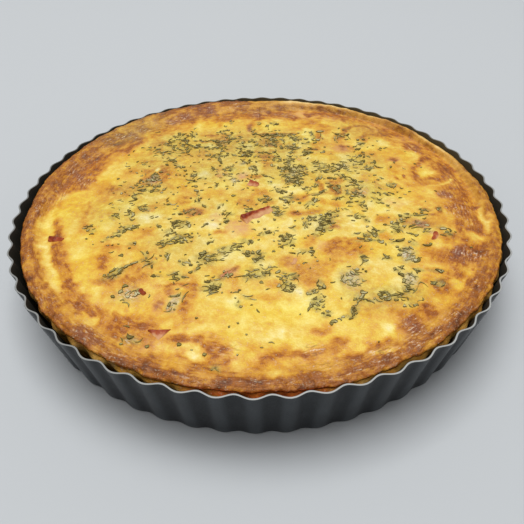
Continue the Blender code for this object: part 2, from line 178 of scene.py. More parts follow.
# Patches: x, y, half length, half width, tone, and their turn
PATCHES = (
    # broad
    (86, 22, 18, 34, 2.6), (-72, -62, 18, 24, 2.6, 20), (12, -96, 34, 14, 1.5), (-12, -28, 28, 12, 1.8),
    (-110, -6, 11, 22, 2.3), (64, -64, 16, 10, 2), (-60, 18, 24, 20, 2.7), (40, -14, 15, 9, 1.7),
    (92, 84, 18, 16, 3.6, -45), (-52, -92, 15, 7, 3, -10), (55, -93, 12, 7, 2.8),
    (-56, -50, 13, 9, 2.7), (92, -52, 9, 9, 3.4), (-48, 50, 14, 10, 2.7), (6, 50, 12, 8, 2.6),
    (34, 112, 14, 8, 3.7),
    # back left
    (-110, 53, 8, 6, 4.7), (-103, 70, 7, 5, 5, 20), (-92, 62, 7, 6, 4.4), (-85, 87, 5, 4, 5, 10),
    (-85, 77, 2.5, 7, 5.3, 25), (-94, 78, 4, 3, 4.9), (-97, 86, 6, 4, 3.6, 40), (-90, 98, 8, 6, 4, 40),
    (-80, 101, 2.5, 6, 3.2), (-75, 94, 5, 4, 3.4), (-80, 108, 9, 4, 4.1, 40), (-60, 113, 8, 4, 4.5, 25),
    (-51, 119, 8, 5, 4.8, 20), (-55, 109, 7, 3, 5.3, 20), (-62, 101, 5, 3, 4.9),
    (-67, 104, 5, 3, 4.6, 30), (-62, 92, 6, 5, 3.4), (-62, 84, 5, 3, 2.9), (-70, 84, 4, 4, 3.7),
    (-76, 76, 2.5, 8, 2.4, 15), (-66, 67, 5, 5, 3.5), (-78, 60, 5, 6, 2.5), (-70, 55, 5, 4, 3.2),
    (-56, 60, 5, 6, 1.9), (-52, 92, 4, 8, 3.2), (-90, 50, 5, 4, 2.4), (-97, 50, 4, 4, 3.8),
    (-103, 61, 4, 4, 3.8),
    # back
    (-25, 127, 20, 3.5, 4.9), (-12, 124, 6, 2.5, 4.6), (0, 126, 4.5, 2.5, 3.3), (12, 128, 8, 2, 3.4),
    (-40, 117, 8, 5, 4.7), (-22, 117, 6, 5, 4.2), (-12, 116, 7, 6, 4.8), (-25, 107, 7, 6, 4.7),
    (-38, 107, 5, 4, 4.2), (-2, 112, 4, 6, 5), (4.5, 116, 2, 4, 3.4), (8, 116, 2, 5, 5.3),
    (15, 113, 4, 5, 4.5), (22, 109, 3.5, 5, 4.6), (32, 113, 3, 7, 2.8), (26, 103, 4, 2.5, 5),
    (37, 112, 2, 5, 4.6), (42, 115, 2, 4, 4.8), (45, 107, 4, 5, 4.2), (6, 105, 4, 3, 3.8),
    (-2, 103, 4, 3, 4.5), (-41, 103, 5, 3, 4.4), (-43, 96, 3, 8, 1.2), (-34, 93, 5, 9, 2.5),
    (-27, 95, 2, 4, 3.4), (-20, 94, 3, 3.5, 1.3), (-14, 99, 7, 4, 2.2), (-13, 88, 6, 6, 2.5),
    (-3, 95, 2, 4, 3.8), (-5.5, 88, 1.8, 5, 5.2), (6, 88, 3, 5, 1.2), (13, 87, 4, 5, 1.6),
    (22, 93, 5, 4, 2.6), (24, 86, 4, 4, 2.8), (33, 90, 4, 6, 3.4), (41, 92, 5, 8, 4),
    (34, 74, 3, 8, 1.4), (41, 74, 2, 3, 5), (46, 85, 3, 6, 3.8), (-27, 76, 5, 4, 3.8),
    (-31, 80, 8, 2, 3.8), (-24, 67, 5, 5, 4.4), (-37, 65, 5, 3.5, 1.5), (-40, 71, 8, 1.5, 4.4),
    (-45, 78, 3, 7, 1.8), (-10, 77, 5, 6, 2.8), (-5, 60, 2.5, 7, 1.2), (-16, 66, 4, 4, 2),
    (13, 79, 12, 1.4, 5.2), (8, 75, 7, 2.5, 4.4), (9, 66, 5, 3.5, 4.4), (21, 69, 4, 3, 1.6),
    (26, 65, 4, 3, 1.5), (21, 61, 4, 3, 4.2), (5, 48, 4, 3, 4), (10, 56, 5, 3, 2.8),
    (38, 57, 6, 2, 3.8), (42, 63, 6, 3, 2.8), (46, 50, 3, 3, 3.4), (-42, 53, 6, 4, 2.8),
    (-38, 50, 3, 3, 3.4), (-20, 55, 5, 4, 2.6), (-12, 51, 6, 3, 1.8), (28, 50, 4, 4, 2),
    # back right
    (70, 108, 10, 3.5, 4.3, -28), (50, 115, 6, 4, 4.6, -15), (57, 104, 6, 4, 4), (53, 97, 5, 7, 2.5),
    (50, 86, 4, 5, 3.6), (63, 101, 1.5, 5, 4.8), (73, 98, 5, 5, 3.8), (72, 90, 4, 2, 3.2),
    (81, 91, 4, 4, 2.7), (68, 82, 4, 5, 2.8), (62, 84, 2, 4, 4.4), (83, 82, 3, 3, 3.2),
    (88, 84, 2, 7, 4.8), (93, 82, 3.5, 8, 4), (98, 87, 4, 4, 3.6, -45), (103, 78, 4, 6, 4.1),
    (98, 73, 4, 4, 3.5), (92, 68, 3, 7, 3.8), (84, 65, 4, 6, 1.6), (77, 62, 3, 4, 2.2),
    (87, 57, 4, 4, 2.6), (56, 57, 7, 5.5, 4), (62, 64, 3, 3, 2.4), (50, 66, 4, 5, 2.8),
    (100, 60, 2, 5, 4.6), (107, 62, 4, 7, 4.7), (114, 58, 3, 8, 4.4, 20), (104.5, 55, 2, 1.6, 5.6),
    (110, 51, 4, 3, 4), (95, 52, 4, 4, 3.2), (71, 71, 3, 4, 4.4), (57, 72, 4, 6, 3.6),
    (67, 51, 6, 4, 2.8), (75, 50, 4, 3, 3.2),
    # left
    (-120, 29, 7, 13, 4.6), (-117, 37, 4, 5, 5.1, -20), (-122, 16, 4, 6, 4.9),
    (-112, 26, 2.5, 10, 5.3, 28), (-107, 34, 4, 8, 4.5), (-105, 23, 3, 5, 5), (-110, 14, 6, 3, 4.4),
    (-129, 28, 4, 10, 4.1), (-118, 46, 5, 4, 4.7), (-100, 43, 5, 4, 3.8), (-95, 27, 5, 5, 1.9),
    (-90, 38, 6, 6, 2.2), (-98, 18, 4, 5, 3.6), (-92, 11, 6, 5, 4), (-89.5, 12, 1, 4.5, 5),
    (-84, 8, 5, 5, 3.7), (-83, 20, 5.5, 5, 2), (-80, 30, 5, 4, 3.4), (-70, 30, 6, 3, 4),
    (-61, 32, 6, 4, 4.4), (-57, 25, 2.5, 5, 4.3), (-66, 21, 5, 4.5, 5), (-51, 24, 2.5, 8, 2.7),
    (-49, 36, 5, 5, 2.4), (-64, 31.5, 1.6, 2.4, 0.8), (-78, 37, 4, 3, 2.2), (-69, 40, 5, 3, 3),
    (-128.5, -6, 3, 18, 4.9, -4), (-131, 10, 2, 12, 4.4), (-109, -3, 8, 13, 2.2), (-118, 3, 4, 8, 2.5),
    (-102, 8, 3, 6, 2.4), (-114, -20, 2.2, 6, 4.5, 15), (-110, -29, 2.2, 5, 4.9, 15),
    (-110, -35, 4.5, 2, 6), (-109, -41, 4.5, 3.5, 4.6), (-104, -26, 4, 5, 2.1), (-99.5, -12, 1, 9, 3.8),
    (-98, -26, 2, 7, 3.2), (-95, -38, 3, 5, 2), (-93, -4, 5, 7, 2.8), (-85, -5, 5, 4, 2),
    (-78, 2, 1.5, 3, 4.2), (-76, -4, 4, 5, 1.4), (-66, -4, 5, 3, 1.5), (-61, -17, 5, 2.5, 0.5),
    (-60, -9, 4, 3, 3), (-86, -14, 5, 4, 2.6), (-75, -20, 5, 5, 2), (-63, -34, 6, 5, 3.8),
    (-58, -41, 4, 4, 2.6), (-70, -38, 4, 3, 2.4), (-79, -45, 4, 2, 4.6), (-87, -33, 4, 4, 2.4),
    (-57, 2, 8, 3, 1.8), (-48, -17, 3, 3, 1.4), (-50, -25, 3, 3, 1.8), (-68, -46, 4, 3, 3.2),
    # middle
    (-34, 26, 3.5, 5, 0.9), (-45, 31, 3, 5, 2.8), (-24, 27, 3, 5, 3), (-20, 11, 8, 6, 1.2),
    (-27, 5, 6, 4, 3), (-9, -5, 6, 4.5, 3.7), (1, 4, 4, 4, 3.8), (7, -6, 3, 2, 3.6),
    (-12, 5, 4, 5, 2.2), (-20, -2, 5, 3, 2.6), (14, -8, 5, 2.5, 1.4), (10, 14, 5, 4, 1),
    (20, 8, 5, 4, 1), (5, 36, 2.6, 9, 3.6), (7, 27, 5, 2.5, 2.8), (32, 11, 3, 8, 1.8),
    (37, 11, 1.4, 7, 3.9), (45, 10, 2.6, 7, 4.6), (43, 42, 5, 5, 2.4), (33, 43, 4, 5, 2),
    (24, -2, 5, 3.5, 3.5), (30, -2, 3, 2, 2.4), (30, -16, 8, 2.5, 3.6, 15), (20, -18, 4, 2.5, 3.8),
    (37, -7, 4, 3, 3.2, 20), (17, -27, 7, 4, 1.2), (20, -37, 4, 3, 1.6), (31, -27, 3, 5, 1.1),
    (41, -31.5, 3, 1.2, 4.8, 10), (44, -37, 3, 3, 1.8), (33, -46, 3.6, 3, 0.8), (27, -42, 3, 4, 3.6),
    (42, -44, 5, 3, 3.9), (-11, -29, 6, 6, 2.6), (-24, -19, 3.5, 3.5, 1.2), (-27, -27, 4, 3.5, 0.4),
    (-33, -13, 5, 3, 2.4), (-21, -33, 3.5, 2, 3.7), (-37, -14, 3.5, 3.5, 5), (-44, -3, 4, 4, 3.8),
    (-43, -20, 4, 2, 2.4), (0, -22, 4, 3, 1.2), (8, -28, 7, 4, 1), (0, -43, 5, 3, 1.3),
    (-38, -31, 5, 4, 1.4), (-30, -34, 4, 3, 1.6), (-15, -40, 5, 3, 1.6), (-2, 22, 4, 2, 4.2),
    (-36, 8, 5, 4, 1.8), (45, -8, 3, 4, 3.4),
    # right
    (60, 27, 4, 5, 1.8), (57, 36, 3, 3, 1.4), (78, 28, 5, 10, 2.3), (72, 22, 5, 4, 2),
    (85, 30, 3, 4, 3.6), (85.5, 18, 0.9, 2.4, 4.8, 10), (90.5, 20, 0.9, 2, 4.8, 10),
    (88, 41, 2.6, 3, 5), (96, 41, 4, 3, 3), (92, 33, 5, 3, 2.9), (101, 26, 4, 4, 2.4),
    (107.5, 24, 3.8, 2, 1.2, 35), (112, 19, 4, 2.2, 4.8, 35), (104, 17, 6, 1.8, 4.6, 30),
    (117, 32, 5, 6, 4.5), (112, 42, 4, 4, 3.6), (120, 24, 4, 8, 5), (126, 25, 3, 4, 3.8),
    (131, 12, 4, 10, 3.6), (127, 2, 2, 10, 3.2), (119, 12, 4, 6, 4.6), (104, 12, 8, 3, 3.4),
    (93, 10, 6, 3, 3.6), (111.5, 1.5, 5, 3, 5.3), (119, 0, 4, 5, 4.3), (106, -8, 5, 4, 3),
    (115, -12, 6, 6, 4.4), (125.5, -10, 1.6, 1.4, 5.8), (119, -24, 4, 9, 4.5), (60, 4, 4, 3, 3.6),
    (47, 7, 2, 5, 5), (86, 4, 11, 5, 2.4), (80, -6, 6, 5, 1.5), (72, -3, 4, 3, 1.6),
    (66, -13, 7, 6, 1.2), (70, -23, 5, 3.5, 3.8), (85, -13, 5, 3, 2.2), (98, -6, 5, 4, 2.7),
    (103, -15, 2, 3.6, 5), (97, -19, 5, 2, 4.2), (95, -26, 3, 4, 3.4), (103, -27, 5, 5, 3.6),
    (88, -28, 5, 3, 4.6), (82, -25, 3, 3, 3.2), (111, -27, 4, 6, 4.4), (133, -22, 2.5, 12, 3.9, 8),
    (115, -39, 4.5, 3.2, 2.2), (107, -41, 4, 4, 4.7), (99, -41, 3, 3, 4.4), (99, -33, 3, 2, 3),
    (66, -39, 4, 3, 3.9), (56, -30, 6, 6, 0.8), (50, -24, 4, 4, 1), (85, -38, 5, 3, 2.4),
    (77, -41, 4, 2, 2), (50, -43, 4, 3, 4), (92, -46, 3, 3, 1.8), (55, -3, 3, 4, 1.6),
    (50, 17, 3, 3, 3), (95, -14, 2.5, 1.5, 4.6),
    # front left
    (-119, -52, 3, 7, 4.2, 15), (-114, -62, 3, 6, 4.6, 25), (-108, -75, 4, 6, 4.6, 35),
    (-100, -87, 4, 6, 4.5, 45), (-103, -53, 4, 6, 4.6, 20), (-97, -65, 3, 6, 4.6, 25),
    (-92, -76, 3, 6, 4.4, 25), (-90, -95, 5, 3, 4.4, -45), (-78, -104, 7, 3.5, 4.9, -35),
    (-68, -112, 7, 3, 4.8, -30), (-57, -118, 8, 3, 4.9, -25), (-48, -123, 6, 3, 4.8, -20),
    (-84, -83, 5, 3.5, 4.7, -30), (-75, -90, 6, 2.5, 4.5, -25), (-66, -96, 6, 3, 4.4, -25),
    (-90, -88, 3.5, 3, 3.3), (-78, -95.5, 4, 2.6, 1.8, -30), (-83, -93, 3, 2, 2.8, -30),
    (-93, -50, 5, 6, 1.4), (-86, -67, 4.5, 6, 2.2), (-90, -58, 4, 4, 2.2), (-80, -54, 2.6, 7, 4.4),
    (-70, -59, 5, 3, 1.6, 35), (-76, -70, 4, 3, 4.4, 20), (-63, -69, 5, 7, 4.3), (-50, -74, 4, 3.5, 2),
    (-52, -60, 3, 4, 2.6), (-80, -76, 4, 2, 2.2, -30), (-72, -78, 4, 3, 3.2),
    (-67, -85, 5, 2.5, 2.4, -25), (-57, -89, 9, 3, 2.6, -8), (-47.5, -86, 2.4, 4, 4.4),
    (-56, -94, 6, 2, 3.8, -10), (-57, -101, 5, 2.5, 4.2), (-60, -106, 5, 3, 4.5),
    (-52, -107, 8, 5, 3.8), (-51, -113, 4, 3, 3.4), (-70, -103, 4, 2.5, 3.2, -30),
    (-64, -62, 3, 3, 3.6),
    # front
    (-43, -55, 4, 5, 2.2), (-14, -55, 5, 4.5, 1), (-24, -63, 6, 3, 2.2, 20), (-40, -75, 9, 0.9, 4),
    (-33, -80, 3, 6, 4.2), (-34, -89, 2.2, 6, 4.3), (-44, -79, 4, 2, 3.6), (-20, -88, 5, 5, 1.9),
    (-13, -88, 3, 4, 0.5), (-12, -79, 5, 2.5, 3), (-12, -70, 4, 3, 3.2), (6, -74, 5, 3, 2.4),
    (4, -82, 6, 2.5, 3.4), (16, -57, 5, 3.5, 3.6), (26, -70, 8, 8, 3.3), (22, -66, 4, 5, 3.8),
    (24, -74, 3, 4, 3.8), (35, -61, 6, 4, 3.6), (40, -50, 8, 6, 4.2), (18.5, -80, 1.3, 2.8, 0.3),
    (4, -59, 5, 3, 1.2), (36, -86, 4, 6, 1.8), (38, -74, 2, 6, 1.2), (2, -95, 18, 6, 1.9),
    (18, -88, 6, 4, 1.3), (-22, -99, 6, 3, 2.2), (-30, -97, 5, 4, 2.8), (9.5, -103, 1.8, 4.5, 0.6),
    (18, -105, 4, 4, 1.6), (-1, -104, 4, 4, 1.9), (27, -103, 5, 3.5, 3.6), (38, -107, 5, 4, 1.8),
    (42, -114, 4, 3, 2.2), (46, -100, 4, 3, 2.4), (23, -113, 3, 3, 2), (-12, -104, 5, 4, 1.9),
    (-4, -112, 4, 3, 2.6), (-22, -106, 5, 2, 3.6, -20), (-35, -107, 6, 2.5, 4.3),
    (-42, -112, 4, 2.5, 2.6), (-27.5, -115, 3.2, 2.6, 0.8), (-18, -114, 4, 4, 4.7),
    (-14, -120, 4, 3, 4.4), (-20, -123, 3, 1.6, 5.2), (-10, -121.5, 4.5, 3, 2.4),
    (-36, -121, 6, 2.5, 3.2), (6, -125.5, 5, 2.6, 2.2, 5), (-4, -126, 3, 2, 3.4),
    (25, -122, 10, 3, 3, 8), (40, -118, 5, 2, 4.4, 10), (-20, -127, 8, 2, 4, -5), (0, -131, 24, 1.8, 5),
    # front right
    (52, -50, 4, 4, 4), (64, -63, 8, 5, 1.7), (70, -52, 4, 4, 1.4), (58, -71, 6, 4, 2.4),
    (52, -76, 3, 5, 1.8), (66, -74, 4, 4, 1.5), (85, -55, 4, 4, 3.4), (92, -58, 3, 4, 4.5),
    (88, -67, 5, 2, 4, -20), (103, -66, 5, 2.4, 2.2, 42), (98, -70, 3, 1.2, 4.6, 42),
    (95.5, -75.5, 4.5, 3, 2, 15), (86, -76, 3, 3, 4.9), (80, -74, 3.5, 3.5, 3.2), (78, -80, 4, 3, 2.4),
    (102, -54, 4, 6, 5.8, -30), (108, -53, 9, 4.5, 5.5, 5), (116, -56, 3.5, 6, 4.7, -20),
    (112, -63, 4, 4, 4.2), (109, -70, 4, 6, 4.8, -30), (103, -76, 4, 5, 5, -30),
    (99, -83, 4, 5, 4.6, -35), (94, -90, 4, 4, 4.8), (87, -96, 5, 3, 5.1, 40), (86, -84, 4, 4, 3.4),
    (92, -83, 3, 4, 3.6), (78, -105, 6, 2.5, 5.3, 38), (79, -99, 8, 2.4, 2.9, 42),
    (77, -93, 2.2, 3, 5.2, -20), (82, -89, 3, 3, 3), (70, -95, 4, 3, 3.8), (61, -95, 3, 4, 4),
    (67, -103, 4, 5, 5.2), (66, -111, 4, 3, 4.7), (51, -97, 6, 6, 2.8), (56, -104, 2.4, 3, 0.4),
    (50, -105, 4, 4, 2), (53, -114, 6, 1.8, 4.2, 10), (53, -116.5, 5, 1.6, 2, 10),
    (60, -109, 3, 3, 2.8), (50, -120, 7, 1.8, 4.8, 12), (62, -116, 5, 2, 4.6, 28),
    (74, -111, 5, 2, 3, 38), (59, -88, 6, 2, 3, 5),
)

# Streaks: points along each, half width, tone
STREAKS = (
    (((-74, 70), (-82, 52)), 3.0, 2.2),
    (((27, 93), (42, 108)), 3.0, 3.0),
    (((32, 64), (35, 84)), 3.0, 1.3),
    (((60, 78), (62, 86), (68, 90.5), (76, 90), (81, 87)), 1.8, 4.5),
    (((85, 92), (88, 84), (84, 77), (76, 79), (72, 74)), 1.5, 4.5),
    (((-121, -6), (-118, -22), (-114.5, -37), (-110, -52), (-104, -64), (-98, -75)), 2.4, 1.6),
    (((23, -2), (29, 0.5), (41, 5)), 1.0, 4.0),
    (((108, 42), (102, 36), (98, 29), (97, 17)), 3.0, 5.0),
    (((121, 46), (126, 33)), 2.0, 2.6),
    (((101, 9), (112, 12), (118, 17)), 1.2, 2.2),
    (((127, -12), (126, -24), (123, -36)), 1.7, 1.9),
    (((-106, -46), (-101, -58), (-95, -69), (-89, -80)), 3.0, 4.4),
    (((-86, -84), (-75, -90), (-62, -96), (-48, -100)), 2.0, 4.6),
    (((-12, -62), (-19, -69)), 1.6, 4.6),
    (((-38, -108), (-26, -107), (-19, -112), (-14, -119)), 2.4, 4.6),
    (((2, -119), (10, -115), (22, -116), (31, -113), (35, -109)), 3.2, 4.4),
    (((84, -78), (92, -72), (97, -67)), 0.9, 5.0),
    (((-100, 2), (-99, -15), (-96, -26)), 1.4, 3.2),
)

# Where the browned skin is blistered, with painted highlights on its wrinkles' ridges and painted shade
# in their pits: x, y, half length, half width, strength, turn
GLINTS = (
    (-62, 101, 5, 3, 0.9), (-56, 108, 7, 3, 0.8, 20), (-103, 70, 6, 4, 0.5), (-95, 78, 4, 2.5, 0.9),
    (-88, 80, 3, 4, 0.8), (-82, 89, 4, 4, 0.8), (-85, 74, 3, 4, 0.5), (-98, 68, 3, 2, 0.7),
    (-37, 118, 6, 3, 0.7), (-14, 124, 6, 3, 0.9), (-20, 119, 4, 3, 0.5), (-2, 112, 4, 5, 0.8),
    (5, 116, 3, 4, 0.7), (22, 109, 4, 5, 1), (-25, 106, 6, 5, 0.4), (13, 114, 3, 4, 0.5),
    (70, 104, 8, 3, 0.4, -28), (104, 58, 4, 6, 0.7), (-113, 28, 3, 8, 0.9, 28), (-118, 37, 4, 5, 0.7),
    (-107, 20, 3, 4, 0.9), (-119, 9, 2, 4, 0.9), (-112, 50, 6, 5, 0.6), (-128, -8, 3, 16, 0.5),
    (-122, 0, 1.5, 8, 0.5), (-63, 18, 2.6, 2.6, 0.9), (119, 18, 4, 7, 0.5), (112, 1, 5, 3, 0.8),
    (115, -14, 6, 7, 0.9), (116, -28, 4, 5, 0.6), (107, -54, 8, 5, 1), (-78, -103, 8, 3.5, 0.8, -35),
    (-60, -117, 9, 3, 0.5, -25), (-85, -84, 5, 3, 0.5, -30), (-108, -78, 3, 8, 0.5, 35),
    (-58, -107, 3, 2, 0.7), (23, -113, 4, 3, 0.9), (27, -121, 10, 3, 0.6, 8), (40, -121, 6, 2, 0.6, 15),
    (-36, -126, 14, 1.2, 0.6, -15), (2, -130, 24, 1.1, 0.7), (38, -126, 12, 1.3, 0.7, 17),
    (62, -116, 11, 1.3, 0.5, 28), (-15, -114, 5, 4, 0.6), (-20, -107, 4, 2, 0.4),
    (86, -97, 5, 3, 0.8, 40), (68, -103, 4, 6, 1), (66, -111, 4, 3, 0.8), (78, -106, 5, 3, 0.9, 38),
    (52, -116, 6, 2, 1, 8), (48, -122, 7, 1.6, 1, 15), (96, -92, 4, 4, 0.5), (105, -75, 4, 5, 0.6),
    (88, -28, 4, 3, 0.5), (75, -54, 3, 5, 0.7), (73, -73, 3, 3, 0.6), (45, -72, 3, 5, 0.6),
    (-62, -81, 5, 3.5, 0.7), (94, -38, 2, 3, 0.5), (-40, -85, 2.4, 4, 0.6), (18, -79, 2, 4, 0.5),
    (28, -66, 3, 5, 0.4),
)

# Where meat below the skin tints it: the same
PINKS = (
    (-62, 101, 5, 3, 0.6), (-55, 109, 6, 3, 0.5, 20), (-88, 80, 5, 5, 0.4), (-38, 117, 5, 4, 0.5),
    (-2, 112, 4, 5, 0.6), (4.5, 116, 3, 4, 0.5), (22, 109, 3, 4, 0.4), (-5.5, 87.5, 1.6, 5, 0.6),
    (56, 57, 6, 5, 0.6), (107, 62, 3, 6, 0.5), (-118, 8, 3, 3, 0.5), (-10, 24.5, 3, 3.2, 0.9),
    (-24, 27, 2.6, 5, 0.5), (-11.5, -29.5, 6, 6, 0.8), (-24, -19, 3.5, 3, 0.6), (-27, -26, 3, 3, 0.2),
    (88, 41, 3, 3, 0.5), (60, 2, 3, 2, 0.4), (80, -6, 5, 4, 0.4), (-78, -103, 6, 3, 0.4, -35),
    (-48, -86, 2, 4, 0.6), (-50, -110, 3, 2.5, 0.5), (17, -58, 2.6, 4, 0.3), (111, 1, 4, 3, 0.6),
    (102, -54, 4, 6, 0.7, -30), (93, -38, 2, 3, 0.7), (33, -46, 3, 2.5, 0.5),
    (-15, -65, 3, 4, 0.6, -40), (-65, 20, 3, 3, 0.4), (67, -103, 4, 5, 0.5), (-112, 27, 3, 8, 0.4, 28),
    (42, -31.5, 3, 1, 0.5), (-37, -14, 3, 3, 0.4), (88, -28, 4, 2.5, 0.5), (-41, -84, 2.5, 4, 0.5),
    (47, -72, 2, 4, 0.3), (32, 112, 16, 6, 0.5), (54, 106, 10, 6, 0.35, -20), (88, 90, 9, 8, 0.3, -45),
    (100, 74, 5, 9, 0.3, 20),
)

# Where the custard is a deeper yellow: the same
DEEPS = (
    (-112, -2, 10, 14, 1), (-30, 98, 14, 7, 0.9), (6, 90, 14, 5, 0.8), (-74, 82, 5, 8, 0.6),
    (-90, -32, 5, 9, 0.8), (-88, -58, 9, 11, 0.9), (8, -92, 26, 7, 0.9), (40, -84, 9, 12, 0.6),
    (30, -107, 18, 5, 0.6), (-16, -106, 10, 5, 0.7), (86, 50, 8, 9, 0.6), (84, 4, 12, 7, 0.6),
    (-80, 46, 8, 9, 0.6), (-94, 22, 7, 7, 0.8), (82, -82, 8, 5, 0.7), (-45, 68, 9, 14, 0.6),
    (35, 75, 6, 10, 0.6), (-56, -90, 12, 4, 0.7, -8), (60, -48, 12, 6, 0.6), (50, -108, 9, 5, 0.5),
)

# Where herbs stain the custard itself green: the same
WASHES = (
    (-10, 62, 44, 20, 0.55), (-58, 62, 15, 18, 0.55), (20, 30, 30, 16, 0.40), (-30, 30, 22, 14, 0.40),
    (62, 36, 16, 14, 0.40), (-70, 10, 18, 9, 0.45), (60, 6, 16, 11, 0.45), (62, -83, 14, 5, 0.55),
    (-74, -10, 24, 16, 0.30), (84, -28, 10, 7, 0.35), (-20, -8, 40, 16, 0.20), (-10, -60, 40, 14, 0.12),
    (-88, 86, 22, 13, 0.38, 45), (-66, 40, 16, 14, 0.35), (72, 84, 16, 12, 0.30, -40),
    (-8, 46, 50, 34, 0.25), (-44, -42, 16, 10, 0.30), (34, -24, 12, 12, 0.25), (46, -77, 6, 12, 0.40),
    (53, -88, 10, 5, 0.35), (88, -30, 8, 6, 0.35),
)

# Where herbs and their stains are bleached to a pale grey: the same
PALES = (
    (75.5, -54, 3.6, 5.5, 0.7), (73, -73, 3.4, 4, 0.6), (45, -74, 4.5, 7, 0.5),
    (-62, -81, 6, 4.2, 0.8, -10), (-40, -85, 2.6, 4.6, 0.6, -20), (53, 33, 2.5, 2, 0.6),
    (62, 3, 4, 3, 0.4), (-64, 20, 3, 3, 0.5), (-15, 19, 1.5, 2.4, 0.7), (88, -28, 4, 3, 0.4),
    (22, 26, 5, 7, 0.25), (-10, 38, 3, 3, 0.4),
)

